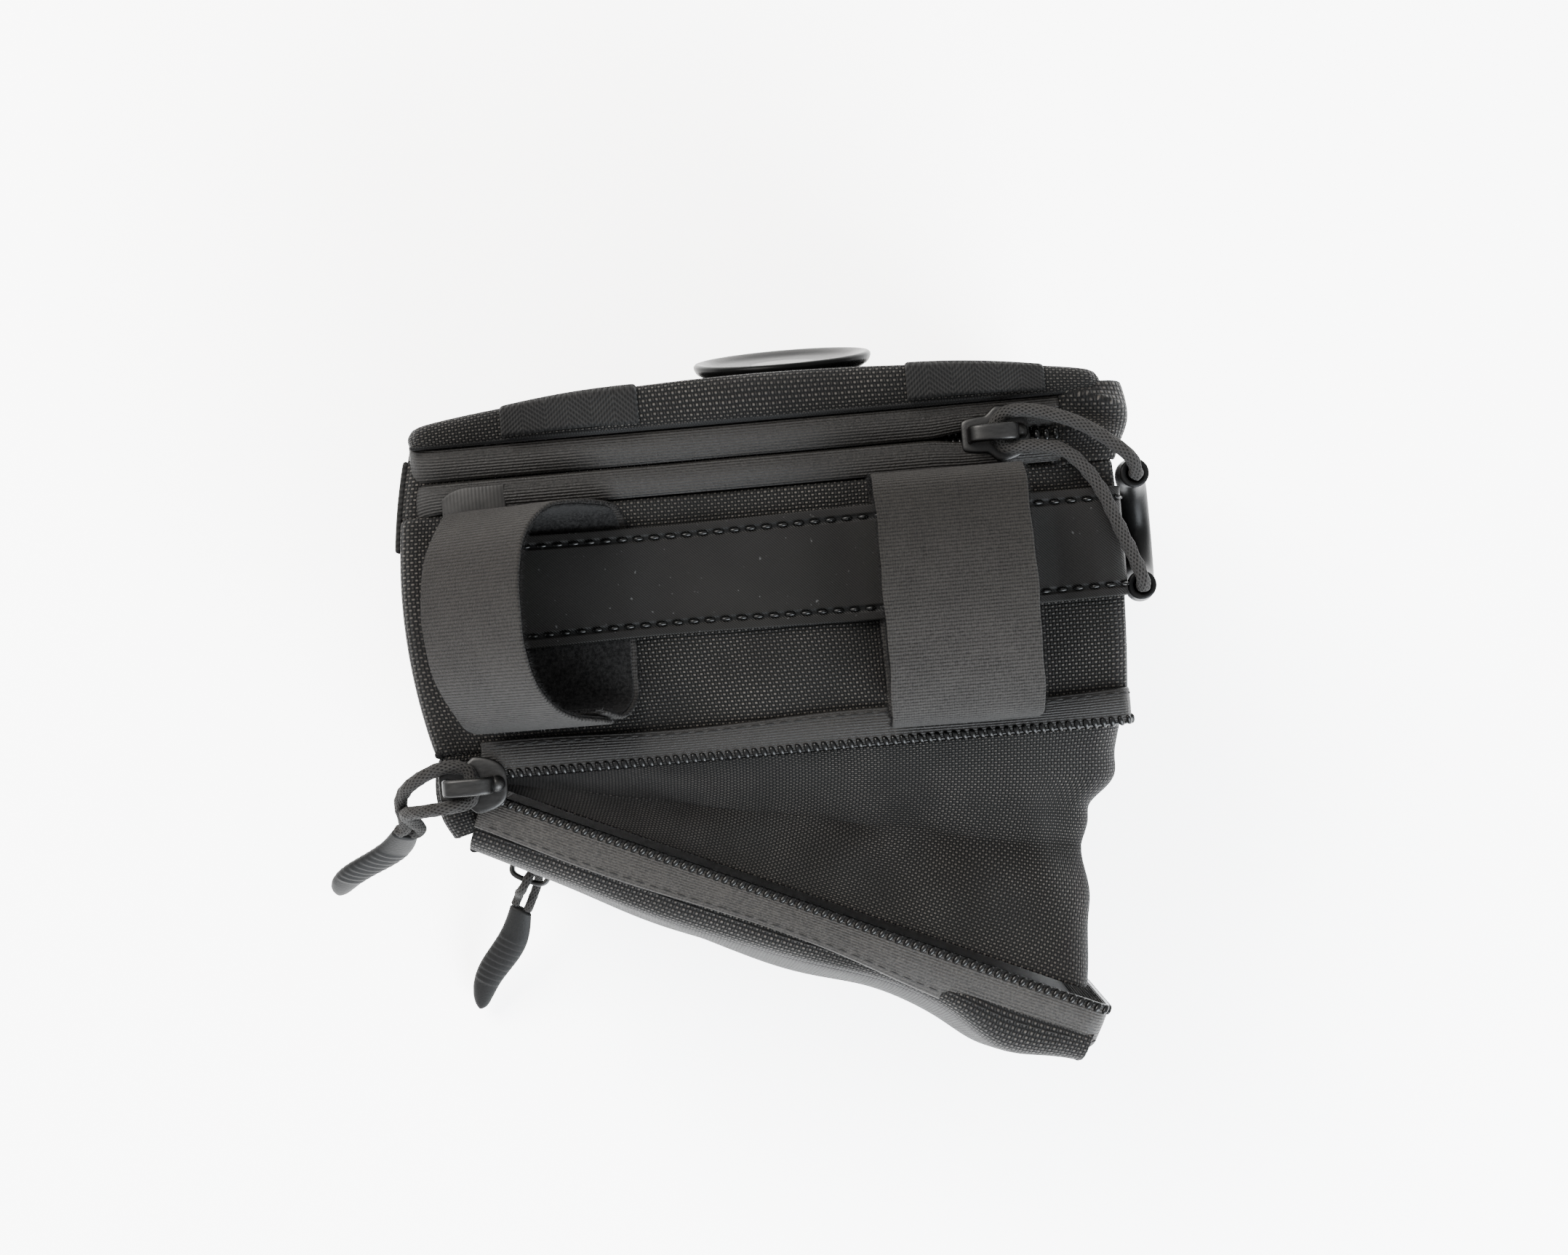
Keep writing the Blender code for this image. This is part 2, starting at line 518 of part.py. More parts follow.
def expansion_slider_and_pull(metal, black_cord, rubber):
    """The expansion zip's slider at the hinge end, with a short cord loop and a moulded tab over the edge."""
    seat = axis_empty("expansion_slide_axis", (HINGE.x, HINGE.y - SLIT / 2, TOP))
    slider("expansion_slider", metal, seat, (-GAP, TAPE + 3 * GAP))
    lift = TOP + 5.0 * MM
    y = HINGE.y - SLIT / 2
    swing = axis_empty("expansion_pull_axis", (HINGE.x, y, lift))
    eye = Vector((-88.5 * MM, -38.5 * MM, TOP - 12.0 * MM))
    tip = Vector((-109.5 * MM, -53.0 * MM, TOP - 34.0 * MM))
    reach = (tip - eye).length
    place = aim(eye, tip, Vector((0.35, -0.6, 0.72)))
    route = strand_ends(place, 1)
    route += [(-86.4 * MM, -33.8 * MM, TOP - 3.0 * MM), (-82.0 * MM, -33.0 * MM, TOP + 3.0 * MM),
              (-76.0 * MM, -32.4 * MM, TOP + 6.0 * MM), (-71.0 * MM, -31.6 * MM, lift + 0.3 * MM),
              (-69.9 * MM, y, lift + 0.1 * MM), (-71.0 * MM, -24.6 * MM, lift + 0.3 * MM),
              (-76.0 * MM, -23.8 * MM, TOP + 6.0 * MM), (-83.0 * MM, -26.6 * MM, TOP + 3.4 * MM),
              (-87.2 * MM, -30.6 * MM, TOP - 3.0 * MM)]
    route += strand_ends(place, -1)[::-1]
    in_place(swing, cord("expansion_pull_cord", route, CORD, black_cord, count=44))
    in_place(swing, pull_tab("expansion_pull_tab", rubber, place, reach, 8.8 * MM, 3.6 * MM, 1.4 * MM))


def pocket_slider_and_pull(metal, black_cord, rubber, front):
    """The front pocket's slider, with a tab that hangs from a cord and rests its tip on the ground."""
    lean = math.atan2(BASE_DEPTH - TOP_DEPTH, TOP)
    depth = front_depth(POCKET_ZIP_Z)
    seat = axis_empty("pocket_slide_axis", (POCKET_SLIDER, -depth, POCKET_ZIP_Z), front)
    seat.rotation_euler = (math.pi / 2 - lean, 0.0, 0.0)
    slider("pocket_slider", metal, seat, (-COIL - 2 * GAP, GAP))
    bpy.context.view_layer.update()
    swing_from = front.matrix_world @ Vector((POCKET_SLIDER, -depth - 3.3 * MM, POCKET_ZIP_Z + 0.2 * MM))
    swing = axis_empty("pocket_pull_axis", swing_from)

    def at(x, out, z):
        return front.matrix_world @ Vector((POCKET_SLIDER + x * MM, -depth - out * MM, z * MM))

    eye, tip = at(-0.6, 15.5, 19.5), at(-3.4, 47.0, 4.6)
    place = aim(eye, tip)
    route = strand_ends(place, 1)
    route += [at(1.6, 7.0, 22.4), at(0.8, 3.6, 25.4), at(0.2, 3.4, 28.2), at(-0.3, 4.6, 31.0), at(-0.7, 7.4, 32.0),
              at(-1.2, 9.6, 30.4), at(-1.8, 10.6, 26.6)]
    route += strand_ends(place, -1)[::-1]
    in_place(swing, cord("pocket_pull_cord", [tuple(p) for p in route], 2.4 * MM, black_cord, count=36))
    in_place(swing, pull_tab("pocket_pull_tab", rubber, place, (tip - eye).length, 8.2 * MM, 3.4 * MM, 1.1 * MM))


def build():
    clear_scene()
    weave = material("ballistic_weave", (0.035, 0.034, 0.036), 0.85)
    lining = material("lining", (0.03, 0.03, 0.031), 0.8)
    board = material("stiffener", (0.06, 0.06, 0.06), 0.6)
    foam = material("foam", (0.05, 0.05, 0.05), 0.9)
    coated = material("coated_tape", (0.045, 0.042, 0.04), 0.5)
    coil = material("coil", (0.012, 0.012, 0.012), 0.3)
    hook_and_loop = material("hook_and_loop", (0.075, 0.073, 0.072), 0.9)
    webbing = material("webbing", (0.04, 0.04, 0.042), 0.75)
    metal = material("gunmetal", (0.09, 0.09, 0.09), 0.35, 0.9)
    black_cord = material("cord", (0.03, 0.03, 0.03), 0.8)
    hose = material("hose", (0.02, 0.02, 0.022), 0.35)
    moulded = material("moulded_plastic", (0.015, 0.015, 0.016), 0.3)
    rubber = material("rubber", (0.035, 0.035, 0.037), 0.6)

    main_shell(weave, board, foam, lining)
    main_zip(coated, coil, coated)
    trim(coated, webbing, moulded, weave)
    straps(hook_and_loop)
    front = axis_empty("front_hinge_axis", HINGE, turn=-OPEN_ANGLE)
    expansion_zip(coated, coil, front)
    front_compartment(weave, lining, coated, coil, front)
    bellows(weave)
    side_fold(weave)
    main_slider_and_pull(metal, black_cord, hose)
    expansion_slider_and_pull(metal, black_cord, rubber)
    pocket_slider_and_pull(metal, black_cord, rubber, front)


build()
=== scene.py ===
import json
import math

import bmesh
import bpy
import numpy as np
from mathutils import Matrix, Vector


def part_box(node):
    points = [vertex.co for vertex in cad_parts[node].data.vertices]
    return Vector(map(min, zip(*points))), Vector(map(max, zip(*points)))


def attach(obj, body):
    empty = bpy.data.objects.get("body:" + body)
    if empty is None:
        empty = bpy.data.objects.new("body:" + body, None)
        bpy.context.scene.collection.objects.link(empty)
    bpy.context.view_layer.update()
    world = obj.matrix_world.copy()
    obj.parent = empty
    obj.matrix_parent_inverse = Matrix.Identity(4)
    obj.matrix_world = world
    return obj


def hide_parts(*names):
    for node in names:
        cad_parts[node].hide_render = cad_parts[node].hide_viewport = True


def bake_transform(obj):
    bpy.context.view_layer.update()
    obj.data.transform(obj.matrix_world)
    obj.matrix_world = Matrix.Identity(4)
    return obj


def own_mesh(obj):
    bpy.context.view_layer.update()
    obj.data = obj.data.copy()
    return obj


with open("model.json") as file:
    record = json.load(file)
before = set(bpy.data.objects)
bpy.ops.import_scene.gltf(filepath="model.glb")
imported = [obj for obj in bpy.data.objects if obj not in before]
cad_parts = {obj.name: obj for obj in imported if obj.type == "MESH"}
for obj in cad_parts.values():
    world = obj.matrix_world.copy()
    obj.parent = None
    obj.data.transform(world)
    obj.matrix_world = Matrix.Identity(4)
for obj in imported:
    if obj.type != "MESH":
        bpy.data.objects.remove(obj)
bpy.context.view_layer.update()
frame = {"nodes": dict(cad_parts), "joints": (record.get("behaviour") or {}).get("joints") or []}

# ---------------------------------------------------------------------------------------------------
# Table, light and camera. A pale seamless table, a big soft window light from the upper left, a cooler
# fill from the lower right, and a camera straight above the pouch, turned five degrees to it.
MM = 0.001
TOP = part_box("top_panel")[1][2]
VIEW_TURN = math.radians(5.0)
VIEW_HEIGHT = 450 * MM
VIEW_WIDTH = 342.2 * MM
SENSOR = 36.0


class Wire:
    """A shader socket in a sum. Each operator adds its Math node and hands back that node's output."""

    def __init__(self, finish, socket):
        self.finish = finish
        self.socket = socket

    def math(self, operation, other=0.0, swap=False):
        terms = (other, self) if swap else (self, other)
        return self.finish.node("ShaderNodeMath", {"operation": operation}, dict(enumerate(terms)))

    def __add__(self, other):
        return self.math("ADD", other)

    def __sub__(self, other):
        return self.math("SUBTRACT", other)

    def __rsub__(self, other):
        return self.math("SUBTRACT", other, swap=True)

    def __mul__(self, other):
        return self.math("MULTIPLY", other)

    def __truediv__(self, other):
        return self.math("DIVIDE", other)

    def __mod__(self, other):
        return self.math("FLOORED_MODULO", other)

    def __pow__(self, other):
        return self.math("POWER", other)

    def __gt__(self, other):
        return self.math("GREATER_THAN", other)

    def __abs__(self):
        return self.math("ABSOLUTE")

    __radd__ = __add__
    __rmul__ = __mul__

    def sin(self):
        return self.math("SINE")

    def floor(self):
        return self.math("FLOOR")

    def step(self, low, high):
        """0 below low, 1 above high and a smooth rise between them."""
        settings = {"interpolation_type": "SMOOTHSTEP"}
        return self.finish.node("ShaderNodeMapRange", settings, {0: self, 1: low, 2: high})


class Finish:
    """A material on a Principled shader. node() adds any node: its type, its settings, its sockets."""

    def __init__(self, name, **constants):
        self.material = bpy.data.materials.new(name)
        self.material.use_nodes = True
        self.tree = self.material.node_tree
        self.shader = self.tree.nodes["Principled BSDF"]
        self.close(**constants)

    def fill(self, node, sockets):
        for key, value in sockets.items():
            if isinstance(value, Wire):
                self.tree.links.new(value.socket, node.inputs[key])
            else:
                node.inputs[key].default_value = value

    def node(self, kind, settings, sockets, output=0):
        made = self.tree.nodes.new(kind)
        for key, value in settings.items():
            setattr(made, key, value)
        self.fill(made, sockets)
        return Wire(self, made.outputs[output])

    def cloth(self):
        """The piece's own cloth coordinates in millimetres: across it, and along it."""
        place = self.node("ShaderNodeUVMap", {"uv_map": "cloth"}, {})
        big = self.node("ShaderNodeVectorMath", {"operation": "SCALE"}, {0: place, "Scale": 1000.0})
        return [self.node("ShaderNodeSeparateXYZ", {}, {0: big}, output=k) for k in (0, 1)]

    def place(self, axis):
        """One of the object's coordinates, in millimetres."""
        spot = self.node("ShaderNodeTexCoord", {}, {}, output=3)
        return self.node("ShaderNodeSeparateXYZ", {}, {0: spot}, output=axis) * 1000.0

    def noise(self, size, detail=2.0, rough=0.5, stretch=(1.0, 1.0, 1.0)):
        """Smooth noise from 0 to 1, whose blots are about size millimetres wide."""
        spot = self.node("ShaderNodeTexCoord", {}, {}, output=3)
        spot = self.node("ShaderNodeVectorMath", {"operation": "MULTIPLY"}, {0: spot, 1: stretch})
        return self.node("ShaderNodeTexNoise", {}, {"Vector": spot, "Scale": 1000.0 / size, "Detail": detail,
                                                    "Roughness": rough})

    def mix(self, factor, one, two):
        return self.node("ShaderNodeMix", {"data_type": "RGBA"}, {0: factor, 6: one, 7: two}, output=2)

    def greys(self, factor, low, high, warm=0.0):
        """A dark neutral colour that runs from level low to level high, and warms on the way."""
        return self.mix(factor, grey(low), grey(high, warm))

    def bump(self, height, deep):
        """Normal of a relief whose height runs from 0 to 1, deep millimetres from low to high."""
        return self.node("ShaderNodeBump", {}, {"Height": height, "Distance": deep * MM})

    def close(self, **sockets):
        self.fill(self.shader, {key.replace("_", " "): value for key, value in sockets.items()})
        return self.material


def grey(level, warm=0.0):
    """A dark neutral colour, with warm as the share by which red stands over blue."""
    return (level * (1.0 + warm), level, level * (1.0 - warm), 1.0)


def grid_mesh(name, grids, finish):
    """One mesh from grids of points (rows, columns, xyz), each with its cloth coordinates in metres.

    Faces join the four points around each cell. Edges and poles that meet are welded, faces turn outwards.
    """
    points, faces, cloth, base = [], [], [], 0
    for grid, uv in grids:
        rows, columns = grid.shape[:2]
        r, c = np.meshgrid(np.arange(rows - 1), np.arange(columns - 1), indexing="ij")
        first = r * columns + c
        corner = np.stack([first, first + columns, first + columns + 1, first + 1], axis=-1).reshape(-1, 4)
        points.append(grid.reshape(-1, 3))
        faces.append(corner + base)
        cloth.append(uv.reshape(-1, 2)[corner].reshape(-1, 2))
        base += rows * columns
    mesh = bpy.data.meshes.new(name)
    mesh.from_pydata(np.concatenate(points).tolist(), [], np.concatenate(faces).tolist())
    layer = mesh.uv_layers.new(name="cloth")
    layer.uv.foreach_set("vector", np.concatenate(cloth).astype(np.float32).ravel())
    bm = bmesh.new()
    bm.from_mesh(mesh)
    bmesh.ops.remove_doubles(bm, verts=bm.verts, dist=1e-6)
    bmesh.ops.dissolve_degenerate(bm, edges=bm.edges, dist=1e-7)
    bmesh.ops.recalc_face_normals(bm, faces=bm.faces)
    bm.to_mesh(mesh)
    bm.free()
    return placed(name, mesh, finish)


def placed(name, mesh, finish):
    """Puts a mesh in the scene, smooth shaded, with its finish."""
    mesh.shade_smooth()
    mesh.materials.append(finish)
    made = bpy.data.objects.new(name, mesh)
    bpy.context.scene.collection.objects.link(made)
    return made


def area_light(name, place, size, power, colour):
    """A square soft light at place, aimed at the middle of the pouch."""
    lamp = bpy.data.lights.new(name, "AREA")
    lamp.size = size
    lamp.energy = power
    lamp.color = colour
    made = bpy.data.objects.new(name, lamp)
    bpy.context.scene.collection.objects.link(made)
    x, y, z = place
    made.location = place
    made.rotation_euler = (math.atan2(math.hypot(x, y), z - TOP / 2), 0.0, math.atan2(y, x) + math.pi / 2)


table_look = Finish("table_white", Roughness=0.55, Emission_Color=(1.0, 0.995, 0.99, 1.0),
                    Emission_Strength=2.6)
table_tint = table_look.mix(table_look.noise(90.0), (0.905, 0.9, 0.89, 1.0), (0.925, 0.925, 0.925, 1.0))
steps = np.linspace(-2.0, 2.0, 9)
spots = np.stack(np.meshgrid(steps, steps, indexing="ij"), axis=-1)
flat = np.concatenate([spots, np.zeros_like(spots[..., :1])], axis=-1)
table = grid_mesh("table", [(flat, spots)], table_look.close(Base_Color=table_tint))
if table.data.polygons[0].normal.z < 0:
    table.data.flip_normals()

area_light("window", (-0.7, 0.85, 1.1), 0.9, 90.0, (1.0, 0.965, 0.92))
area_light("fill", (0.5, -1.0, 0.75), 0.9, 100.0, (0.88, 0.94, 1.0))
world = bpy.data.worlds.new("studio")
bpy.context.scene.world = world
world.use_nodes = True
world.node_tree.nodes["Background"].inputs["Color"].default_value = (0.98, 0.99, 1.0, 1.0)
world.node_tree.nodes["Background"].inputs["Strength"].default_value = 2.7
lens = bpy.data.cameras.new("camera")
lens.sensor_width = SENSOR
lens.lens = SENSOR * VIEW_HEIGHT / VIEW_WIDTH
camera = bpy.data.objects.new("camera", lens)
bpy.context.scene.collection.objects.link(camera)
camera.location = (0.0, 0.0, TOP + VIEW_HEIGHT)
camera.rotation_euler = (0.0, 0.0, -VIEW_TURN)
bpy.context.scene.camera = camera

# ---------------------------------------------------------------------------------------------------
# Pull cords. Each zip pull is a short length of braided polyester cord, hitched through its slider's
# bridge. The main one ends in a bent hose, the other two in moulded rubber tabs.


def held(share):
    """The share, kept between 0 and 1."""
    return np.clip(share, 0.0, 1.0)


def unit(vectors):
    """The same directions with length 1."""
    return vectors / np.linalg.norm(vectors, axis=-1, keepdims=True)


def joined(*coordinates):
    """Coordinates brought to one shape and joined into points."""
    return np.stack(np.broadcast_arrays(*coordinates), axis=-1)


def smooth(points, count):
    """Catmull-Rom curve through a short list of points, read at even distances."""
    p = np.array(points, float)
    p = np.vstack([2 * p[0] - p[1], p, 2 * p[-1] - p[-2]])
    u = np.linspace(0.0, len(p) - 3, 12 * len(p))
    k = np.minimum(u.astype(int), len(p) - 4)
    t = (u - k)[:, None]
    a, b, c, d = p[k], p[k + 1], p[k + 2], p[k + 3]
    line = 0.5 * (2 * b + (c - a) * t + (2 * a - 5 * b + 4 * c - d) * t**2 + (3 * b - a - 3 * c + d) * t**3)
    return evenly(line, count)


def reach(path):
    """Distance along a path at each of its points."""
    return np.concatenate([[0.0], np.cumsum(np.linalg.norm(np.diff(path, axis=0), axis=1))])


def read_along(path, distance):
    """The points of a path at the given distances along it, held at its ends."""
    far = reach(path)
    return joined(*[np.interp(distance, far, path[:, k]) for k in range(path.shape[1])])


def evenly(path, count):
    """The same path as count points at even distances."""
    return read_along(path, np.linspace(0.0, reach(path)[-1], count))


def carried(path):
    """Direction and two normals at each point of a path, carried along it so that they don't twist."""
    along = np.gradient(path, axis=0)
    along = unit(along)
    side = [np.cross(along[0], (0.3, 0.5, 0.8))]
    for t in along:
        moved = side[-1] - t * (side[-1] @ t)
        side.append(unit(moved))
    side = np.array(side[1:])
    return along, side, np.cross(along, side)


def rings(centre, side, up, wide, high, sides):
    """Rings of points around centres: wide along side, high along up, and closed to a point at both ends."""
    turn = 2 * np.pi * np.arange(sides + 1) / sides
    cos, sin = np.cos(turn)[None, :, None], np.sin(turn)[None, :, None]
    wide, high = (np.broadcast_to(w, (len(centre), sides + 1))[..., None] for w in (wide, high))
    points = centre[:, None] + wide * cos * side[:, None] + high * sin * up[:, None]
    first, last = (np.repeat(centre[k][None, None], sides + 1, axis=1) for k in (0, -1))
    points = np.concatenate([first, points, last])
    far = np.concatenate([[0.0], reach(centre), [reach(centre)[-1]]])
    across = turn * float(np.max(wide))
    return points, joined(across[None, :], far[:, None])


def braided(name, path, diameter, finish):
    """A braided cord: a round tube whose radius rises and falls with two crossing sets of helices."""
    along, side, up = carried(path)
    turn = 2 * np.pi * np.arange(29) / 28
    lay = (2 * np.pi * reach(path) / (1.5 * diameter))[:, None]
    plait = np.abs(np.sin(2 * turn + lay / 2)) - np.abs(np.sin(2 * turn - lay / 2))
    radius = diameter / 2 * (0.97 + 0.09 * plait)
    return grid_mesh(name, [rings(path, side, up, radius, radius, 28)], finish)


def braid_finish():
    """Matt black polyester: crossing yarns, each two shades, with lint on the crowns."""
    look = Finish("cord_braid", Specular_IOR_Level=0.04, Roughness=0.8, Sheen_Weight=0.02,
                  Sheen_Roughness=0.5)
    u, v = look.cloth()
    one = abs((u * 3.6 + v * 2.1).sin())
    two = abs((u * 3.6 - v * 2.1).sin())
    yarn = one.math("MAXIMUM", two) * 0.7 + look.noise(0.35) * 0.3
    return look.close(Base_Color=look.greys(yarn.step(0.3, 0.95), 0.0006, 0.013, 0.05),
                      Normal=look.bump(yarn, 0.4))


def fit(piece, body, slot, *nodes):
    """Fastens a piece to its body and hides the CAD nodes that it stands for; slot is not used."""
    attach(piece, body)
    if nodes:
        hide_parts(*nodes)
    return piece


def pull_cord(name, route, diameter, body, node):
    """A pull's cord through its route's points, with a ring every 0.32 mm along the line that it follows."""
    path = smooth(route, int(reach(np.array(route))[-1] / (0.32 * MM)))
    piece = fit(braided(name, path, diameter, CORD_BLACK), body, "cord", node)


CORD_BLACK = braid_finish()
CORD = 3.0 * MM
LIFT = TOP + 3.3 * MM
REAR_END = (79.3 * MM, 27.0 * MM)
FORE_END = (78.8 * MM, 2.5 * MM)
HOSE_TOP = TOP - 1.0 * MM
pull_cord("main_pull_braid", [
    (*REAR_END, HOSE_TOP + 0.5 * MM), (*REAR_END, HOSE_TOP + 2.6 * MM),
    (77.0 * MM, 31.0 * MM, TOP + 5.0 * MM), (68.0 * MM, 37.8 * MM, TOP + 6.2 * MM),
    (59.0 * MM, 41.6 * MM, TOP + 5.4 * MM),
    (53.0 * MM, 42.4 * MM, TOP + 3.9 * MM), (49.8 * MM, 40.6 * MM, LIFT + 0.1 * MM),
    (49.3 * MM, 37.4 * MM, LIFT + 0.1 * MM), (51.4 * MM, 34.6 * MM, TOP + 3.9 * MM),
    (57.0 * MM, 34.4 * MM, TOP + 5.0 * MM), (64.0 * MM, 32.4 * MM, TOP + 5.6 * MM),
    (70.0 * MM, 25.0 * MM, TOP + 5.6 * MM), (74.5 * MM, 14.0 * MM, TOP + 5.2 * MM),
    (77.8 * MM, 5.6 * MM, TOP + 4.0 * MM), (*FORE_END, HOSE_TOP + 2.6 * MM),
    (*FORE_END, HOSE_TOP + 0.5 * MM)],
    CORD, "main_pull", "main_pull_cord")

# The hose is cut square at both ends: 6.4 mm outside, with the cord running down its 3.8 mm bore.
hose_look = Finish("hose_black", Specular_IOR_Level=0.05)
scuff = hose_look.noise(2.4, detail=5.0, rough=0.65)
HOSE_BLACK = hose_look.close(Base_Color=hose_look.greys(scuff, 0.0012, 0.003),
                             Roughness=scuff * 0.2 + 0.3, Normal=hose_look.bump(hose_look.noise(0.6), 0.03))
line = smooth([(*REAR_END, HOSE_TOP), (79.3 * MM, 27.0 * MM, TOP - 8.0 * MM),
               (81.2 * MM, 24.0 * MM, TOP - 16.5 * MM),
               (82.2 * MM, 15.0 * MM, TOP - 21.5 * MM), (81.2 * MM, 5.6 * MM, TOP - 16.5 * MM),
               (79.4 * MM, 2.2 * MM, TOP - 8.0 * MM), (*FORE_END, HOSE_TOP)], 90)
along, side, up = carried(line)
HOSE, BORE, BORE_DEEP = 3.2 * MM, 1.9 * MM, 7.0 * MM
lip = np.linspace(0.0, np.pi, 9)[1:]
wall = (HOSE - BORE) / 2
lip_radius = np.concatenate([HOSE - wall + wall * np.cos(lip), [BORE]])
lip_out = np.concatenate([wall * 0.7 * np.sin(lip), [-BORE_DEEP]])
fore = line[-1] + along[-1] * lip_out[:, None]
rear = (line[0] - along[0] * lip_out[:, None])[::-1]
centres = np.concatenate([rear, line, fore])
radii = np.concatenate([lip_radius[::-1], np.full(len(line), HOSE), lip_radius])
around = [np.concatenate([np.repeat(w[:1], len(rear), 0), w, np.repeat(w[-1:], len(fore), 0)])
          for w in (side, up)]
fit(grid_mesh("main_pull_hose", [rings(centres, *around, radii[:, None], radii[:, None], 36)], HOSE_BLACK),
    "main_pull", "hose", "main_pull_tube")

# The two rubber tabs are moulded over both ends of their cord loops, ribbed for grip and bent in a soft S.
tab_look = Finish("rubber_tab", Roughness=0.55, Specular_IOR_Level=0.07)
grain = tab_look.noise(0.5, detail=4.0)
RUBBER = tab_look.close(Base_Color=tab_look.greys(grain, 0.0018, 0.0048), Normal=tab_look.bump(grain, 0.08))


def aimed(start, end, towards=(0.0, 0.0, 1.0)):
    """Axes at start whose first points at end, the third staying as near to towards as it can."""
    x = unit(end - start)
    y = np.cross(towards, x)
    y = unit(y)
    return np.array([x, y, np.cross(x, y)])


def pull_tab(name, start, axes, length, width, thick, sway, body, node):
    """A moulded tab: flat rings along an S of height sway, waisted at the cord and rounded at the tip.

    The grip is nine cross ribs, each a cosine that adds to the ring's height.
    """
    t = np.concatenate([0.02 * (1 - np.cos(np.linspace(0, np.pi / 2, 6)[:-1])), np.linspace(0.02, 0.93, 90),
                        1 - 0.07 * (1 - np.sin(np.linspace(0, np.pi / 2, 12)[1:]))])
    half = width / 2 * (0.72 + 0.28 * np.sin(np.pi * held(t * 1.15)))
    close = np.sqrt(held(1.0 - (held(t - 0.8) / 0.2) ** 2))
    close *= np.sqrt(1.0 - held(1.0 - t / 0.02) ** 2 * 0.75)
    grip = 0.5 - 0.5 * np.cos(2 * np.pi * 9 * held((t - 0.25) / 0.5))
    high = thick / 2 * (0.82 + 0.18 * grip) * (0.35 + 0.65 * close)
    local = np.stack([length * t, sway * np.sin(2 * np.pi * t), 0 * t], axis=1)
    centre = start + local @ axes
    side = np.repeat(axes[1][None], len(t), 0)
    up = np.repeat(axes[2][None], len(t), 0)
    made = grid_mesh(name, [rings(centre, side, up, (half * close)[:, None], high[:, None], 32)], RUBBER)
    return fit(made, body, "rubber_tab", node)


def strand_ends(start, axes, side):
    """Where one of a pull's two strands ends, square to its tab, and the point it comes straight from."""
    across = side * 1.8 * MM
    return [tuple(start + np.array([x * MM, across, 0.0]) @ axes) for x in (-0.5, -3.5)]


hinge = next(joint for joint in frame["joints"] if joint["name"] == "front_hinge")
HINGE_X, HINGE_Y = hinge["pos_m"][:2]
OPEN = math.radians(hinge["range_deg"][1])
SLIT = 1.4 * MM
seam = HINGE_Y - SLIT / 2
lift = TOP + 5.0 * MM
eye, tip = np.array([-88.5, -38.5, 100.0]) * MM, np.array([-109.5, -53.0, 78.0]) * MM
axes = aimed(eye, tip, (0.35, -0.6, 0.72))
pull_cord("expansion_pull_braid", strand_ends(eye, axes, 1) + [
    (-86.4 * MM, -33.8 * MM, TOP - 3.0 * MM), (-82.0 * MM, -33.0 * MM, TOP + 3.0 * MM),
    (-76.0 * MM, -32.4 * MM, TOP + 6.0 * MM), (-71.0 * MM, -31.6 * MM, lift + 0.3 * MM),
    (-69.9 * MM, seam, lift + 0.1 * MM), (-71.0 * MM, -24.6 * MM, lift + 0.3 * MM),
    (-76.0 * MM, -23.8 * MM, TOP + 6.0 * MM), (-83.0 * MM, -26.6 * MM, TOP + 3.4 * MM),
    (-87.2 * MM, -30.6 * MM, TOP - 3.0 * MM)] + strand_ends(eye, axes, -1)[::-1],
    CORD, "expansion_pull", "expansion_pull_cord")
pull_tab("expansion_pull_grip", eye, axes, float(np.linalg.norm(tip - eye)), 8.8 * MM, 3.6 * MM, 1.4 * MM,
         "expansion_pull", "expansion_pull_tab")


def on_front(x, out, z):
    """A point of the front compartment: x along it from the hinge, out from the hinge's plane, and z up."""
    x, out, z = np.broadcast_arrays(x, out, z)
    cos, sin = math.cos(OPEN), math.sin(OPEN)
    return joined(HINGE_X + x * cos - out * sin, HINGE_Y - x * sin - out * cos, z + 0.0)


TOP_DEPTH, BASE_DEPTH = 15.0 * MM, 26.0 * MM


def front_depth(z):
    """Depth of the front compartment's outer face, which leans out towards the base."""
    return BASE_DEPTH + (TOP_DEPTH - BASE_DEPTH) * z / TOP


POCKET_Z = 28.0 * MM
POCKET_SLIDER = 12.0 * MM


def by_pocket_slider(x, out, z):
    """A point by the pocket's slider, in millimetres along the face, out from it, and up from the ground."""
    return on_front(POCKET_SLIDER + x * MM, front_depth(POCKET_Z) + out * MM, z * MM)


eye, tip = by_pocket_slider(-0.6, 15.5, 19.5), by_pocket_slider(-3.4, 47.0, 4.6)
axes = aimed(eye, tip)
loop = [(1.6, 7.0, 22.4), (0.8, 3.6, 25.4), (0.2, 3.4, 28.2), (-0.3, 4.6, 31.0), (-0.7, 7.4, 32.0),
        (-1.2, 9.6, 30.4), (-1.8, 10.6, 26.6)]
pull_cord("pocket_pull_braid", strand_ends(eye, axes, 1) + [tuple(by_pocket_slider(*p)) for p in loop]
          + strand_ends(eye, axes, -1)[::-1], 2.4 * MM, "pocket_pull", "pocket_pull_cord")
pull_tab("pocket_pull_grip", eye, axes, float(np.linalg.norm(tip - eye)), 8.2 * MM, 3.4 * MM, 1.1 * MM,
         "pocket_pull", "pocket_pull_tab")

# ---------------------------------------------------------------------------------------------------
# Base and side walls. Each is one panel of coated ballistic nylon in a basket weave, cut with a knife and
# sewn to its neighbours inside out, so only a rounded edge shows. The base is stiffened by a plastic board.


def spread(length, edge, count):
    """Places along a side: even, and closer together over the rounding at each end."""
    end = edge * (1.0 - np.cos(np.radians([0.0, 30.0, 55.0, 75.0])))
    return np.concatenate([end, np.linspace(edge, length - edge, count), length - end[::-1]])


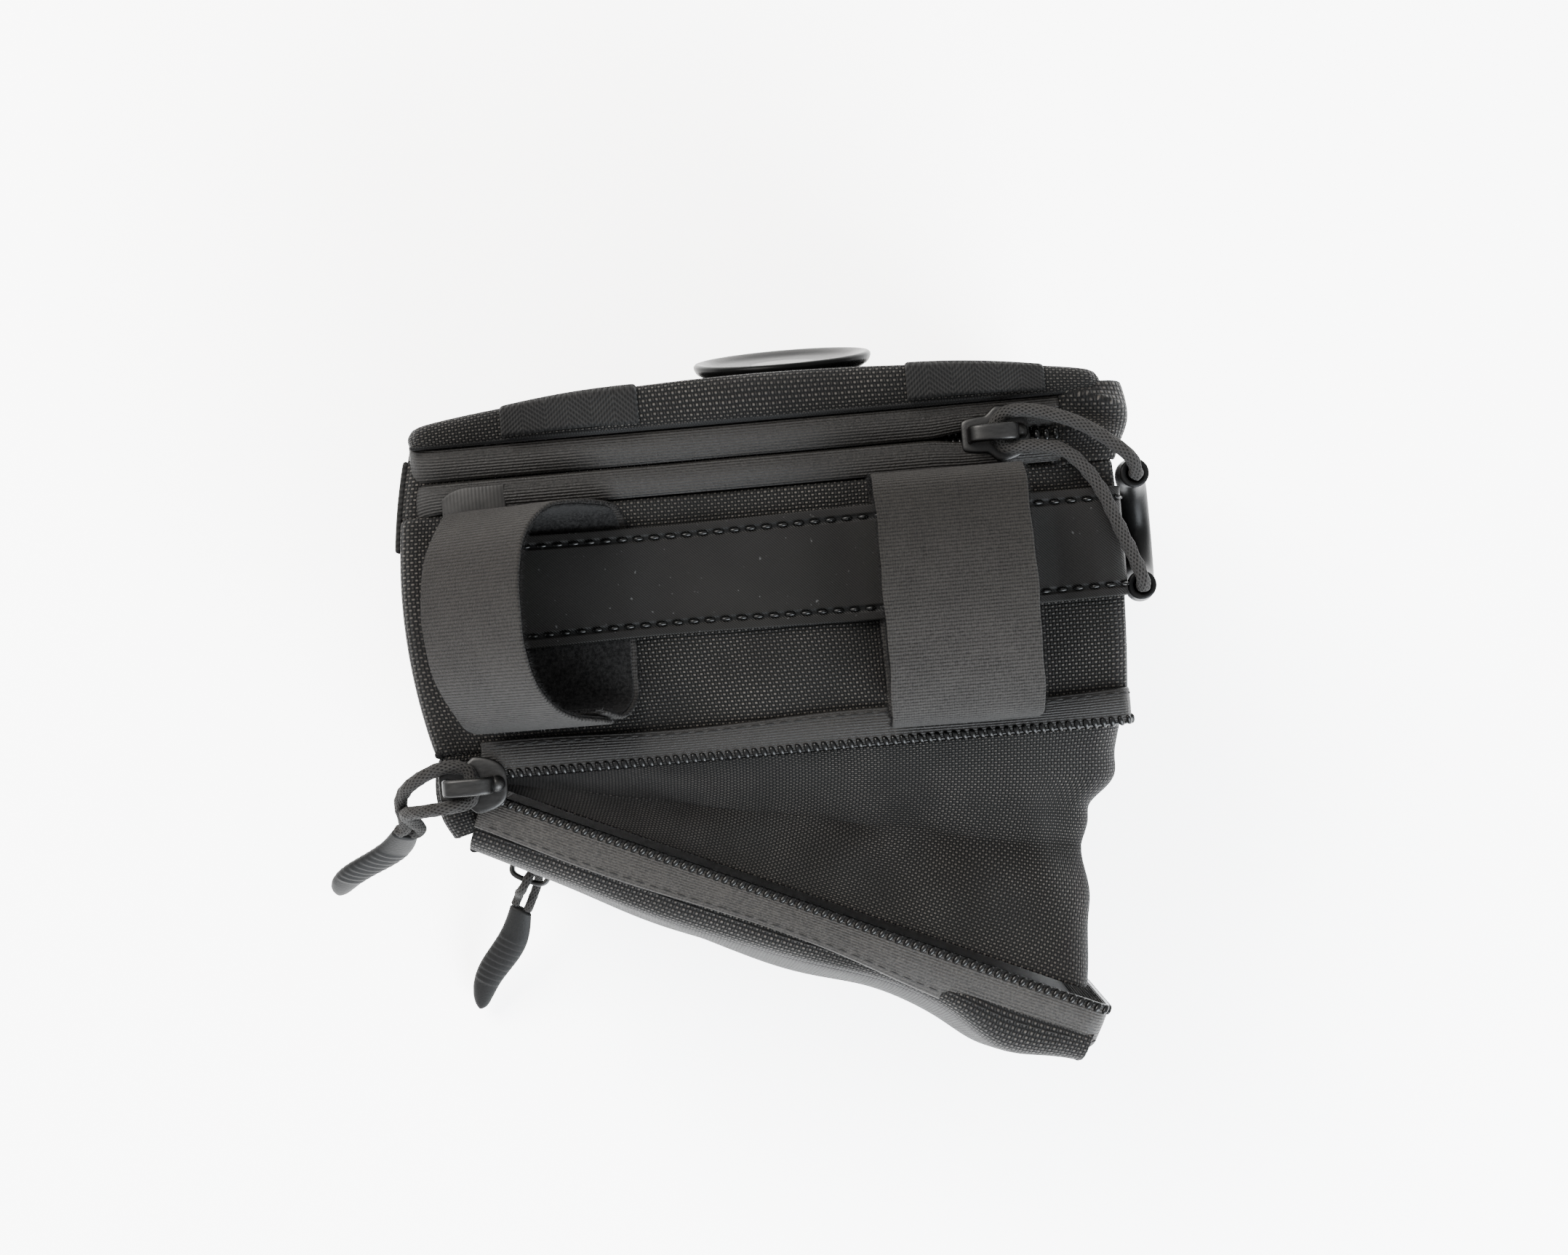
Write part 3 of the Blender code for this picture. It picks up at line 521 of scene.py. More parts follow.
def panel_grids(place, size, counts, thick, crown=0.0, edge=0.0):
    """The two faces of a sewn panel: its middle surface place(u, v), moved half its thickness each way.

    That half thickness is a quarter ellipse away from each edge, so that the faces meet in rounded edges.
    The crown lifts the first face by two crossed sine arches to the power 0.6.
    """
    edge = edge or thick / 2
    u, v = np.meshgrid(spread(size[0], edge, counts[0]), spread(size[1], edge, counts[1]), indexing="ij")
    middle = place(u, v)
    step = 0.01 * MM
    normal = np.cross(place(u + step, v) - place(u - step, v), place(u, v + step) - place(u, v - step))
    normal = unit(normal)
    half = thick / 2
    arch = crown
    for w, total in ((u, size[0]), (v, size[1])):
        near = held(np.minimum(w, total - w) / edge)
        half = half * np.sqrt(1.0 - (1.0 - near) ** 2)
        arch = arch * np.sin(np.pi * held(w / total)) ** 0.6
    cloth = joined(u, v)
    return [(middle + normal * (half + arch)[..., None], cloth), (middle - normal * half[..., None], cloth)]


def panel(name, place, size, counts, thick, finish, **shape):
    """A closed panel; place turns distances u and v along its two sides into points."""
    return grid_mesh(name, panel_grids(place, size, counts, thick, **shape), finish)


def slab(low, high, thin):
    """place() and size of the flat middle surface of a box that is thinnest along axis thin."""
    wide = [k for k in range(3) if k != thin]

    def place(u, v):
        point = [None, None, None]
        point[wide[0]] = low[wide[0]] + u
        point[wide[1]] = low[wide[1]] + v
        point[thin] = np.full(np.shape(u), (low[thin] + high[thin]) / 2)
        return np.stack(point, axis=-1)

    return place, [high[k] - low[k] for k in wide], high[thin] - low[thin]


def box_panel(name, node, body, slot, thin, finish, spacing=3.0 * MM, **shape):
    """A panel that fills a CAD node's box, with a grid point every spacing."""
    place, size, thick = slab(*[list(corner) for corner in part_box(node)], thin)
    counts = [max(4, int(length / spacing)) for length in size]
    return fit(panel(name, place, size, counts, thick, finish, **shape), body, slot, node)


def weave_finish(name, cell, low, high, warm, deep, axes=None):
    """Ballistic weave: a chequer of floats, cell = (wide, tall) each, warp over weft and then weft over warp.

    A weft float is a half sine along the cell and a rounder one across it. A warp float is the same, turned
    and lower. The colour is painted light: the floats' crowns are painted highlights, warm at their
    brightest, the hollows between them are painted shade, and slow blotches dim some of the painted
    highlights. axes names two of the object's axes, for padding that has no cloth coordinates of its own.
    """
    look = Finish(name, Specular_IOR_Level=0.06, Sheen_Weight=0.02)
    u, v = (look.place(axes[0]), look.place(axes[1])) if axes else look.cloth()
    wobble = look.noise(5.0) * 0.5
    u = u / cell[0] + wobble
    v = v / cell[1] + wobble
    turned = (u.floor() + v.floor()) % 2.0
    arch_u = abs((u * math.pi).sin())
    arch_v = abs((v * math.pi).sin())
    weft = (arch_u ** 0.5) * (arch_v ** 1.4)
    warp = (arch_v ** 0.5) * (arch_u ** 1.4) * 0.55
    yarn = weft * turned + warp * (1 - turned)
    # Painted highlight and shade: the colour rises with each float's height, lightest on the crowns and
    # darkest in the hollows.
    dull = look.noise(12.0, detail=4.0).step(0.3, 0.75) * 0.5 + 0.5
    crown = yarn.step(0.3, 0.95) * dull * (look.noise(0.6) * 1.0 + 0.5)
    return look.close(Base_Color=look.greys(crown, low, high, warm), Roughness=0.72 - yarn * 0.22,
                      Normal=look.bump(yarn, deep))


SHELL = weave_finish("shell_ballistic", (0.72, 0.8), 0.0008, 0.03, 0.11, 0.35)
LINING = weave_finish("lining_taffeta", (0.3, 0.3), 0.002, 0.009, 0.0, 0.04)
BACK_LOW, BACK_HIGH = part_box("back_lining")
REAR = BACK_LOW[1]


def vertex_places(piece):
    """The places of a piece's vertices, one row for each."""
    places = np.empty(len(piece.data.vertices) * 3)
    piece.data.vertices.foreach_get("co", places)
    return places.reshape(-1, 3)


def eased(piece):
    """Thins the back towards both ends: depth behind the seam times 0.42 + 0.62 sin(pi s)^0.7, s along it."""
    spots = vertex_places(piece)
    behind = spots[:, 1] - REAR
    share = held((spots[:, 0] - BACK_LOW[0]) / (BACK_HIGH[0] - BACK_LOW[0]))
    keep = 0.42 + 0.62 * np.sin(np.pi * share) ** 0.7
    spots[:, 1] = REAR + np.maximum(behind, 0.0) * keep + np.minimum(behind, 0.0)
    piece.data.vertices.foreach_set("co", spots.ravel())
    return piece


eased(box_panel("base_panel", "base_skin", "main", "shell_weave", 2, SHELL, edge=0.8 * MM))
board_look = Finish("board_grey", Roughness=0.6)
board_grain = board_look.noise(0.8, detail=4.0, stretch=(1.0, 0.2, 1.0))
BOARD = board_look.close(Base_Color=board_look.greys(board_grain, 0.0045, 0.0105),
                         Normal=board_look.bump(board_grain, 0.05))
frame["nodes"]["base_board"].data.materials[0] = BOARD


def bowed(low, high, side, bulge, sag, thick):
    """place() of a wall that bows outwards between its upright edges: a parabola across, waved along z."""
    def place(u, v):
        across = held(u / (high[1] - low[1]))
        up = held(v / (high[2] - low[2]))
        bow = bulge * 4.0 * across * (1.0 - across)
        wave = sag * np.sin(np.pi * across) * np.sin(np.pi * up) * (
            np.sin(2.3 * np.pi * up + 3.0 * across) + 0.6 * np.sin(9.0 * across - 7.0 * up) + 0.9)
        face = high[0] - bulge if side > 0 else low[0] + bulge
        return joined(face + side * (bow + wave - thick / 2), low[1] + u, low[2] + v)
    return place


WALL = 2.5 * MM
LEFT_BULGE, RIGHT_BULGE = 4.5 * MM, 1.5 * MM
for name, side, bulge in (("left_wall", -1, LEFT_BULGE), ("right_wall", 1, RIGHT_BULGE)):
    low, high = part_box(name)
    size = (high[1] - low[1], high[2] - low[2] - 2.6 * MM)
    made = panel(f"{name}_panel", bowed(low, high, side, bulge, 0.9 * MM, WALL), size, (34, 50), WALL, SHELL)
    fit(made, "main", "shell_weave", name)

# ---------------------------------------------------------------------------------------------------
# Divider and top. The divider closes the main compartment towards the expansion space, in thin lining
# cloth. The top panel is shell weave that sags a little between the two zips.
box_panel("divider_cloth", "divider_panel", "main", "lining", 1, LINING)
low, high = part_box("top_panel")


def over_walls(across, along, roll=4.0 * MM):
    """x along the top, and how far it rolls down a quarter circle where it meets the bowed side walls."""
    arch = 4.0 * across * (1.0 - across)
    left = BACK_LOW[0] - 0.4 * MM - LEFT_BULGE * arch
    right = BACK_HIGH[0] + 0.6 * MM + RIGHT_BULGE * arch
    x = left + (right - left) * along
    near = held(1.0 - np.minimum(x - left, right - x) / roll)
    return x, roll * (1.0 - np.sqrt(1.0 - near * near))


def sagging_top(u, v):
    """The top panel's middle: it rolls down over both walls, lies flat under the straps, and ripples softly.

    A full roll runs along its front seam.
    """
    across = held(v / (high[1] - low[1]))
    along = held(u / TOP_LONG)
    x, down = over_walls(across * (high[1] - low[1]) / (REAR - low[1]), along)
    edge = np.sin(np.pi * across) * np.sin(np.pi * along)
    ripple = 0.7 * np.sin(14.0 * along + 5.0 * across) + 0.6 * np.sin(31.0 * along - 9.0 * across)
    ripple = ripple + 0.8 * np.exp(-((across - 0.16) / 0.13) ** 2)
    rise = edge ** 0.7 * ripple * 0.75 * MM * (1.0 - 0.75 * np.exp(-((across - 0.62) / 0.24) ** 4))
    return joined(x, low[1] + v, (low[2] + high[2]) / 2 + rise - down)


TOP_LONG = high[0] - low[0] + 8.0 * MM
made = panel("top_cloth", sagging_top, (TOP_LONG, high[1] - low[1]), (150, 50), high[2] - low[2], SHELL,
             edge=1.6 * MM)
fit(made, "main", "shell_weave", "top_panel")

# ---------------------------------------------------------------------------------------------------
# Padded back. Lining, 4 mm foam and shell weave, sewn together round the edge with a folded binding, so
# that the foam swells between the seams. The binding's ridge is the line along the top's rear edge.


def puffed(name, low, high, cap, voxel, finish):
    """A padded panel: a rounded box is remeshed, blown up by cloth pressure, capped, and smoothed once."""
    inset = 0.6 * MM
    start, stop = np.array(low) + inset, np.array(high) - inset
    thin = int(np.argmin(stop - start))
    place, size, thick = slab(start.tolist(), stop.tolist(), thin)
    piece = panel(name, place, size, [int(s / (3 * MM)) for s in size], thick, finish, edge=2.0 * MM)
    scene = bpy.context.scene
    bpy.context.view_layer.objects.active = piece
    mesh = piece.modifiers.new("grid", "REMESH")
    mesh.mode = "VOXEL"
    mesh.voxel_size = voxel
    mesh.use_smooth_shade = True
    bpy.ops.object.modifier_apply(modifier=mesh.name)
    rest = vertex_places(piece)
    rim = np.flatnonzero(np.any([np.minimum(rest[:, k] - start[k], stop[k] - rest[:, k]) < 1.2 * MM
                                 for k in range(3) if k != thin], axis=0))
    group = piece.vertex_groups.new(name="seam")
    group.add(rim.tolist(), 1.0, "REPLACE")
    cloth = piece.modifiers.new("cloth", "CLOTH")
    cloth.settings.use_pressure = True
    cloth.settings.uniform_pressure_force = 4.0
    cloth.settings.effector_weights.gravity = 0.0
    cloth.settings.vertex_group_mass = "seam"
    cloth.settings.quality = 5
    for frame_number in range(1, 21):
        scene.frame_set(frame_number)
    bpy.ops.object.modifier_apply(modifier=cloth.name)
    scene.frame_set(1)
    move = vertex_places(piece) - rest
    far = np.linalg.norm(move, axis=1, keepdims=True)
    move *= np.minimum(1.0, cap / np.maximum(far, 1e-9))
    piece.data.vertices.foreach_set("co", (rest + move).ravel())
    finer = piece.modifiers.new("finer", "SUBSURF")
    finer.levels = finer.render_levels = 1
    bpy.ops.object.modifier_apply(modifier=finer.name)
    piece.vertex_groups.clear()
    return piece


BACK_WEAVE = weave_finish("back_ballistic", (0.72, 0.8), 0.0008, 0.03, 0.11, 0.35, axes=(0, 2))
foam_look = Finish("foam_charcoal", Roughness=0.95)
cells = foam_look.noise(0.5, detail=3.0)
FOAM = foam_look.close(Base_Color=foam_look.greys(cells, 0.003, 0.0075), Normal=foam_look.bump(cells, 0.3))
eased(box_panel("back_lining_cloth", "back_lining", "main", "lining", 1, LINING))
foam_core = eased(box_panel("back_foam_core", "back_foam", "main", "foam", 1, FOAM))
low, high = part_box("back_skin")
pad_low = (low[0], low[1] - 1.0 * MM, low[2])
pad = fit(eased(puffed("back_pad", pad_low, high, 1.6 * MM, 2.5 * MM, BACK_WEAVE)), "main", "shell_weave",
          "back_skin")
BACK_FACE = high[1]
BACK_TOP = high[2]


def quarter(x, z, radius, count, start=90.0, end=0.0):
    """Points on a quarter circle that rounds off the corner at x, z, from its top to its right side."""
    turn = np.radians(np.linspace(start, end, count))
    return joined(x - radius + radius * np.cos(turn), z - radius + radius * np.sin(turn))


rim_x = np.array([BACK_LOW[0] + 1.2 * MM, high[0] - 1.2 * MM])
rim_y = (BACK_HIGH[1] + BACK_FACE) / 2 + 0.3 * MM
right_turn = quarter(rim_x[1], BACK_TOP, 3.0 * MM, 7)
left_turn = joined(rim_x.sum() - right_turn[:, 0], right_turn[:, 1])[::-1]
rim = np.vstack([[[rim_x[0], low[2] + 1.0 * MM]], left_turn, right_turn, [[rim_x[1], low[2] + 1.0 * MM]]])
rim = joined(rim[:, 0], rim_y, rim[:, 1] - 0.6 * MM)
rim = evenly(rim, 240)


def rim_place(u, v):
    """The binding's middle: across its width it folds over the rim as half an ellipse."""
    spot = read_along(rim, u)
    turn = np.pi * held(v / BINDING)
    flat = joined(np.zeros_like(u), -4.3 * MM * np.cos(turn), np.zeros_like(u))
    out = joined(np.gradient(spot[:, 0, 2]) * -1.0, np.zeros(len(spot)), np.gradient(spot[:, 0, 0]))
    out = unit(out)
    swell = 1.3 * MM * np.sin(turn) * (1.0 + 0.35 * np.sin(u / (13.0 * MM)) + 0.2 * np.sin(u / (4.7 * MM)))
    return spot + flat + out[:, None] * swell[..., None]


BINDING = 10.0 * MM
look = Finish("binding_grosgrain", Specular_IOR_Level=0.05, Roughness=0.7, Sheen_Weight=0.02,
              Sheen_Roughness=0.4)
u, v = look.cloth()
rib = abs((u * 4.2).sin())
PIPING_TAPE = look.close(Base_Color=look.greys(rib * (look.noise(0.8) * 0.6 + 0.4), 0.00105, 0.0063, 0.03),
                       Normal=look.bump(rib, 0.16))
made = panel("back_binding", rim_place, (reach(rim)[-1], BINDING), (230, 14), 0.7 * MM, SHELL)
fit(eased(made), "main", "shell_weave")

# ---------------------------------------------------------------------------------------------------
# Main zip. A water-resistant coil zip: two polyester tapes with a thin satin coating, nearly touching over
# the coil that is sewn below them. Its left end is sealed with a smooth welded patch.


def tape_finish(name, high):
    """Coated tape: fine ribs along it, stipple bumps over them, and duller rubbed patches."""
    look = Finish(name, Specular_IOR_Level=0.12)
    u, v = look.cloth()
    rib = (v * 2 * math.pi / 0.55).sin() * 0.5 + 0.5
    stipple = look.noise(0.45, detail=3.0, rough=0.6)
    rub = look.noise(9.0, detail=3.0)
    tint = look.greys(rib * 0.3 + stipple.step(0.35, 0.7) * 0.45 + rub * 0.25, 0.0006, high, 0.1)
    return look.close(Base_Color=tint, Roughness=0.34 + stipple * 0.25 + rub * 0.1,
                      Normal=look.bump(rib * 0.35 + stipple * 0.65, 0.3))


def pill(wide=1):
    """A small closed shape of quads: a cube cut once or more each way and pushed out to a unit ball."""
    bm = bmesh.new()
    bmesh.ops.create_cube(bm, size=2.0)
    bmesh.ops.subdivide_edges(bm, edges=bm.edges, cuts=wide, use_grid_fill=True)
    points = np.array([vert.co for vert in bm.verts])
    faces = np.array([[vert.index for vert in face.verts] for face in bm.faces])
    bm.free()
    return unit(points), faces


def repeated(name, shape, spots, axes, finish):
    """Copies one small shape to every spot, on that spot's own axes, whose lengths are its half sizes."""
    points, faces = shape
    axes = np.broadcast_to(axes, (len(spots), 3, 3))
    every = spots[:, None] + np.einsum("pk,nkj->npj", points, axes)
    shift = len(points) * np.arange(len(spots))
    corners = faces[None] + shift[:, None, None]
    mesh = bpy.data.meshes.new(name)
    mesh.from_pydata(every.reshape(-1, 3).tolist(), [], corners.reshape(-1, faces.shape[1]).tolist())
    return placed(name, mesh, finish)


PILL = pill()
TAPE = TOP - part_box("main_zip_tape_front")[0][2]
COATED = tape_finish("coated_tape", 0.0075)
main_seam = (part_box("main_zip_tape_front")[1][1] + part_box("main_zip_tape_rear")[0][1]) / 2
slider_low, slider_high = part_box("main_slider")
SLIDER_X = (slider_low[0] + slider_high[0]) / 2
PARTED = 9.0 * MM
PUFF = 1.0 * MM
LONGER = 6.5 * MM


def zip_tape(name, node, inner):
    """A tape's middle: a low rounded ridge, 0.44 mm from its twin along the seam.

    The tapes part towards the slider. Their left ends are rounded off and roll down over the pouch's edge.
    """
    low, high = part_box(node)
    side = 1.0 if inner == 0 else -1.0

    def place(u, v):
        x = low[0] - LONGER + u
        near = held((x - (SLIDER_X - PARTED - 6 * MM)) / PARTED)
        gap = (0.22 + 0.9 * near * near * (3 - 2 * near)) * MM
        share = held(v / (high[1] - low[1]))
        share = 1.0 - share if inner == 0 else share
        move = (main_seam + side * gap - (low[1] if inner == 0 else high[1])) * share
        ripple = 0.12 * MM * np.sin(x / (5.0 * MM) + 2.0 * inner) * (1.0 - near)
        end = held(u / (7.0 * MM))
        end = np.sqrt(1.0 - (1.0 - end) ** 2)
        puff = PUFF * np.sin(np.pi * share) ** 0.8 * end * (1.0 + 0.16 * np.sin(x / (8.0 * MM) + 1.7 * inner))
        lean = -0.35 * MM * share * share - 3.0 * MM * (1.0 - end)
        tuck = side * 2.4 * MM * (1.0 - end) * (1.0 - share)
        z = (low[2] + high[2]) / 2 + ripple * share + puff + lean
        return joined(x, low[1] + v + move + tuck + 0 * x, z)

    size = (high[0] - low[0] + LONGER, high[1] - low[1])
    return fit(panel(name, place, size, (180, 20), TAPE, COATED, edge=0.7 * MM), "main", "coated_tape", node)


zip_tape("main_tape_rear", "main_zip_tape_rear", 0)
zip_tape("main_tape_front", "main_zip_tape_front", 1)

# Both ends of the zip are covered: a shell-weave strip below the left end, and at the right a folded corner
# of the shell, bunched where the back, the wall and the zip meet.
TAPE_FRONT, WALL_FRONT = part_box("main_zip_tape_front")[0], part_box("left_wall")[0][1]


def end_cover(u, v):
    """The left cover's middle: flat below the tapes, and rolled down over the left wall."""
    y = TAPE_FRONT[1] - 0.5 * MM + v
    share = held((y - WALL_FRONT) / (REAR - WALL_FRONT))
    edge = BACK_LOW[0] - 0.6 * MM - LEFT_BULGE * 4.0 * share * (1.0 - share)
    x = edge + u
    near = held(1.0 - u / (3.5 * MM))
    return joined(x, y, TOP - 1.9 * MM - 3.5 * MM * (1.0 - np.sqrt(1.0 - near * near)))


def corner_fold(u, v):
    """The folded corner's middle, 22 mm by 17 mm: a swelling dome with three sharp-crested pleats.

    A pleat is one minus the absolute sine, fanned from the zip's end. The right edge rolls down the wall.
    """
    s = held(u / (22.0 * MM))
    t = held(v / (17.0 * MM))
    x = 55.0 * MM + u * (1.0 - 0.06 * np.cos(3.0 * t)) + 2.0 * MM * np.sin(np.pi * t) * s * s
    y = 29.6 * MM + v * 1.08 + 1.2 * MM * s * np.sin(5.0 * t + 1.0)
    pleat = (1.0 - np.abs(np.sin(7.0 * t + 2.5 * s - 1.2))) * 2.4 * MM * held((s - 0.3) / 0.3)
    rim = held(1.0 - (1.0 - s) / 0.24)
    swell = 1.4 * MM * np.sin(np.pi * t) ** 0.6 * s
    sunk = 2.6 * MM * (1.0 - held(s / 0.45)) ** 0.8
    rolled = 7.0 * MM * (1.0 - np.sqrt(1.0 - rim * rim))
    return joined(x, y, TOP - 0.6 * MM + pleat * (1.0 - rim) + swell - sunk - rolled)


for name, place, size, counts in (
        ("zip_end_left", end_cover, (16.0 * MM, REAR - TAPE_FRONT[1] + 1.0 * MM), (20, 16)),
        ("corner_fold_right", corner_fold, (22.0 * MM, 17.0 * MM), (70, 60))):
    fit(panel(name, place, size, counts, 1.2 * MM, SHELL), "main", "shell_weave")

coil_look = Finish("coil_nylon", Specular_IOR_Level=0.11)
coil_wear = coil_look.noise(1.5, detail=3.0)
COIL_BLACK = coil_look.close(Base_Color=coil_look.greys(coil_wear, 0.0006, 0.0021),
                             Roughness=0.16 + coil_wear * 0.2)
COIL = 1.2 * MM
PITCH = 1.5 * MM
for name, side in (("front", -1), ("rear", 1)):
    low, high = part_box(f"main_zip_coil_{name}")
    x = np.arange(low[0] + PITCH, high[0], PITCH) + (PITCH / 2 if side > 0 else 0.0)
    spots = joined(x, main_seam + side * 1.0 * MM, high[2] - 0.7 * MM)
    axes = np.diag([PITCH * 0.36, 1.25 * MM, 0.75 * MM])
    fit(repeated(f"main_teeth_{name}", PILL, spots, axes, COIL_BLACK), "main", "coil",
        f"main_zip_coil_{name}")

# Past the slider the teeth show between the tapes, and three of them turn down over the right-hand wall.
drop_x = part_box("right_wall")[1][0] + 0.2 * MM
route = np.array([[SLIDER_X + 7.0 * MM, main_seam - 1.0 * MM, TOP + 0.2 * MM],
                  [drop_x - 5.0 * MM, main_seam - 1.0 * MM, TOP + 0.2 * MM],
                  [drop_x - 1.0 * MM, main_seam - 1.2 * MM, TOP - 0.9 * MM],
                  [drop_x + 0.2 * MM, main_seam - 1.4 * MM, TOP - 5.0 * MM]])
line = smooth(route, 40)
spots = read_along(line, np.arange(0.0, reach(line)[-1], 2.1 * MM))
axes = np.diag([0.8 * MM, 1.5 * MM, 0.7 * MM])
fit(repeated("main_teeth_end", PILL, spots, axes, COIL_BLACK), "main", "coil")

patch_look = Finish("patch_welded", Specular_IOR_Level=0.09)
rib = (patch_look.place(0) * 2 * math.pi / 0.8).sin() * 0.5 + 0.5
smear = patch_look.noise(3.0, detail=4.0)
PATCH = patch_look.close(Base_Color=patch_look.greys(smear * 0.85 + rib * 0.15, 0.003, 0.011, 0.06),
                         Roughness=0.34 + smear * 0.2, Normal=patch_look.bump(rib * 0.2 + smear * 0.8, 0.1))
low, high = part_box("main_zip_end_patch")


def patch_place(u, v):
    """The patch's middle: its left corners are drawn in to a half ellipse, and it sags at its rim."""
    x = held(u / (high[0] - low[0]))
    y = held(v / (high[1] - low[1])) * 2.0 - 1.0
    round_off = np.sqrt(held(1.0 - (1.0 - held(x / 0.45)) ** 2 * 0.8))
    middle = (low[1] + high[1]) / 2
    dome = (1 - y * y) * np.sin(np.pi * np.clip(x, 0.02, 0.98)) * 0.5 * MM
    z = (low[2] + high[2]) / 2 + dome - 0.1 * MM
    return joined(low[0] + u, middle + y * round_off * (high[1] - low[1]) / 2 + 0 * u, z)


made = panel("main_end_patch", patch_place, (high[0] - low[0], high[1] - low[1]), (28, 22), 0.8 * MM, PATCH)
fit(made, "main", "coated_tape", "main_zip_end_patch")

# Stitch rows: the tapes are sewn to the shell 2.5 mm in from their edges, with thread 0.35 mm thick.
thread_look = Finish("thread_black", Specular_IOR_Level=0.06, Roughness=0.6, Sheen_Weight=0.02)
fibre = thread_look.noise(0.3, detail=2.0)
THREAD = thread_look.close(Base_Color=thread_look.greys(fibre, 0.0018, 0.0075, 0.02))


def stitches(name, path, up, length, gap, body, thick=0.36 * MM, finish=THREAD):
    """A row of stitches on a path: one pill for each, along the path and half sunk in the cloth."""
    far = np.arange(length / 2, reach(path)[-1] - length / 2, length + gap)
    spots = read_along(path, far)
    along = read_along(path, far + 0.1 * MM) - read_along(path, far - 0.1 * MM)
    along = unit(along)
    up = np.broadcast_to(np.array(up, float), along.shape)
    across = np.cross(up, along)
    across = unit(across)
    up = np.cross(along, across)
    axes = np.stack([along * length / 2, across * thick / 2, up * thick / 2], axis=1)
    return fit(repeated(name, PILL, spots, axes, finish), body, "webbing")


low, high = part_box("main_zip_tape_rear")
row = np.array([[low[0] + 2 * MM, high[1] - 1.0 * MM, TOP + 0.05 * MM],
                [high[0] - 2 * MM, high[1] - 1.0 * MM, TOP + 0.05 * MM]])
stitches("stitches_main_zip_rear", row, (0, 0, 1), 2.6 * MM, 0.5 * MM, "main")
low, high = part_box("main_zip_tape_front")
row = np.array([[low[0] + 15 * MM, low[1] + 1.0 * MM, TOP + 0.05 * MM],
                [high[0] - 2 * MM, low[1] + 1.0 * MM, TOP + 0.05 * MM]])
stitches("stitches_main_zip_front", row, (0, 0, 1), 2.6 * MM, 0.5 * MM, "main")

# ---------------------------------------------------------------------------------------------------
# Sliders. Three die-cast zinc sliders with a dark nickel finish, each with a narrow tail, two flared
# shoulders, a lower wing under the tape, and a raised bridge that its cord is hitched through.
metal_look = Finish("gunmetal", Metallic=0.95)
scratch = metal_look.noise(0.9, detail=6.0, rough=0.7, stretch=(0.25, 1.0, 1.0))
pits = metal_look.noise(0.35, detail=3.0)
GUNMETAL = metal_look.close(Base_Color=metal_look.greys(scratch, 0.006, 0.02, 0.02),
                            Roughness=0.3 + scratch * 0.24, Normal=metal_look.bump(pits, 0.02))


def wing(scale, z0, z1, local):
    """A slider's wing from above: a square tail 8.4 mm wide that flares to 12.4 mm, its nose an ellipse.

    Rows shrink the outline by s to its middle on both faces; the half thickness is the root of 1 - s^12.
    """
    turn = np.linspace(0.0, 2 * np.pi, 121)
    x = -7.4 * MM * np.cos(turn) * scale
    flare = held((x + 2.4 * MM) / (3.2 * MM))
    half = (4.2 + 2.0 * flare * flare * (3 - 2 * flare)) * MM * scale
    bluff = np.where(x < 0, 0.22, 0.62)
    y = half * np.sign(np.sin(turn)) * np.abs(np.sin(turn)) ** bluff
    s = np.concatenate([np.linspace(0.0, 0.85, 6), 1 - 0.15 * (1 - np.sin(np.linspace(0.2, 1.57, 7)))])
    lid = np.sqrt(held(1.0 - s ** 12))
    lid[-1] = 0.0
    shade = joined(s[:, None] * 6 * MM, turn[None] * 3 * MM)
    faces = []
    for sign in (-1, 1):
        z = (z0 + z1) / 2 + sign * (z1 - z0) / 2 * lid[:, None]
        flat = joined(s[:, None] * x, s[:, None] * y, z)
        faces.append((local(flat), shade))
    return faces


def slider(name, node, body, seat, axes, channel):
    """A slider at its seat on its three axes: two wings above and below the channel, a post and a bridge.

    The bridge is a strip 3.8 mm wide and 1.3 mm thick, bent up and over along a smooth arch.
    """
    def local(points):
        return seat + points @ axes

    low, high = channel
    thick = 1.2 * MM
    grids = wing(1.0, high, high + thick, local) + wing(0.84, low - thick, low, local)
    foot = high + thick
    bends = [(-5.6, 0, -0.6), (-5.6, 0, 2.0), (-5.2, 0, 4.0), (-3.6, 0, 4.9), (0, 0, 5.1), (2.6, 0, 4.9),
             (3.9, 0, 4.0), (4.2, 0, 2.0), (4.2, 0, -0.6)]
    arch = smooth(np.array(bends) * MM + (0.0, 0.0, foot), 90)

    def over(u, v):
        return local(read_along(arch, u) + joined(0 * v, v - 1.9 * MM, 0 * v))

    grids += panel_grids(over, (reach(arch)[-1], 3.8 * MM), (70, 10), 1.3 * MM)
    post_x = np.array([[1.5, 0, low / MM - 0.4], [1.5, 0, high / MM + 0.4]]) * MM
    post = np.linspace(0, 1, 4)[:, None] * (post_x[1] - post_x[0]) + post_x[0]
    ends = np.repeat(axes[:1], 4, 0), np.repeat(axes[1:2], 4, 0)
    grids.append(rings(local(post), *ends, np.full((4, 1), 3.0 * MM), np.full((4, 1), 0.25 * MM), 16))
    polar = -np.cos(np.linspace(0.0, np.pi, 15))
    nose = local(np.stack([5.2 * MM + 1.9 * MM * polar, 0 * polar, foot + 0.5 * MM + 0 * polar], axis=1))
    dome = 1.9 * MM * np.sqrt(held(1.0 - polar ** 2))[:, None]
    grids.append(rings(nose, np.repeat(axes[1:2], 15, 0), np.repeat(axes[2:], 15, 0), dome, dome, 24))
    return fit(grid_mesh(name, grids, GUNMETAL), body, "slider_metal", node)


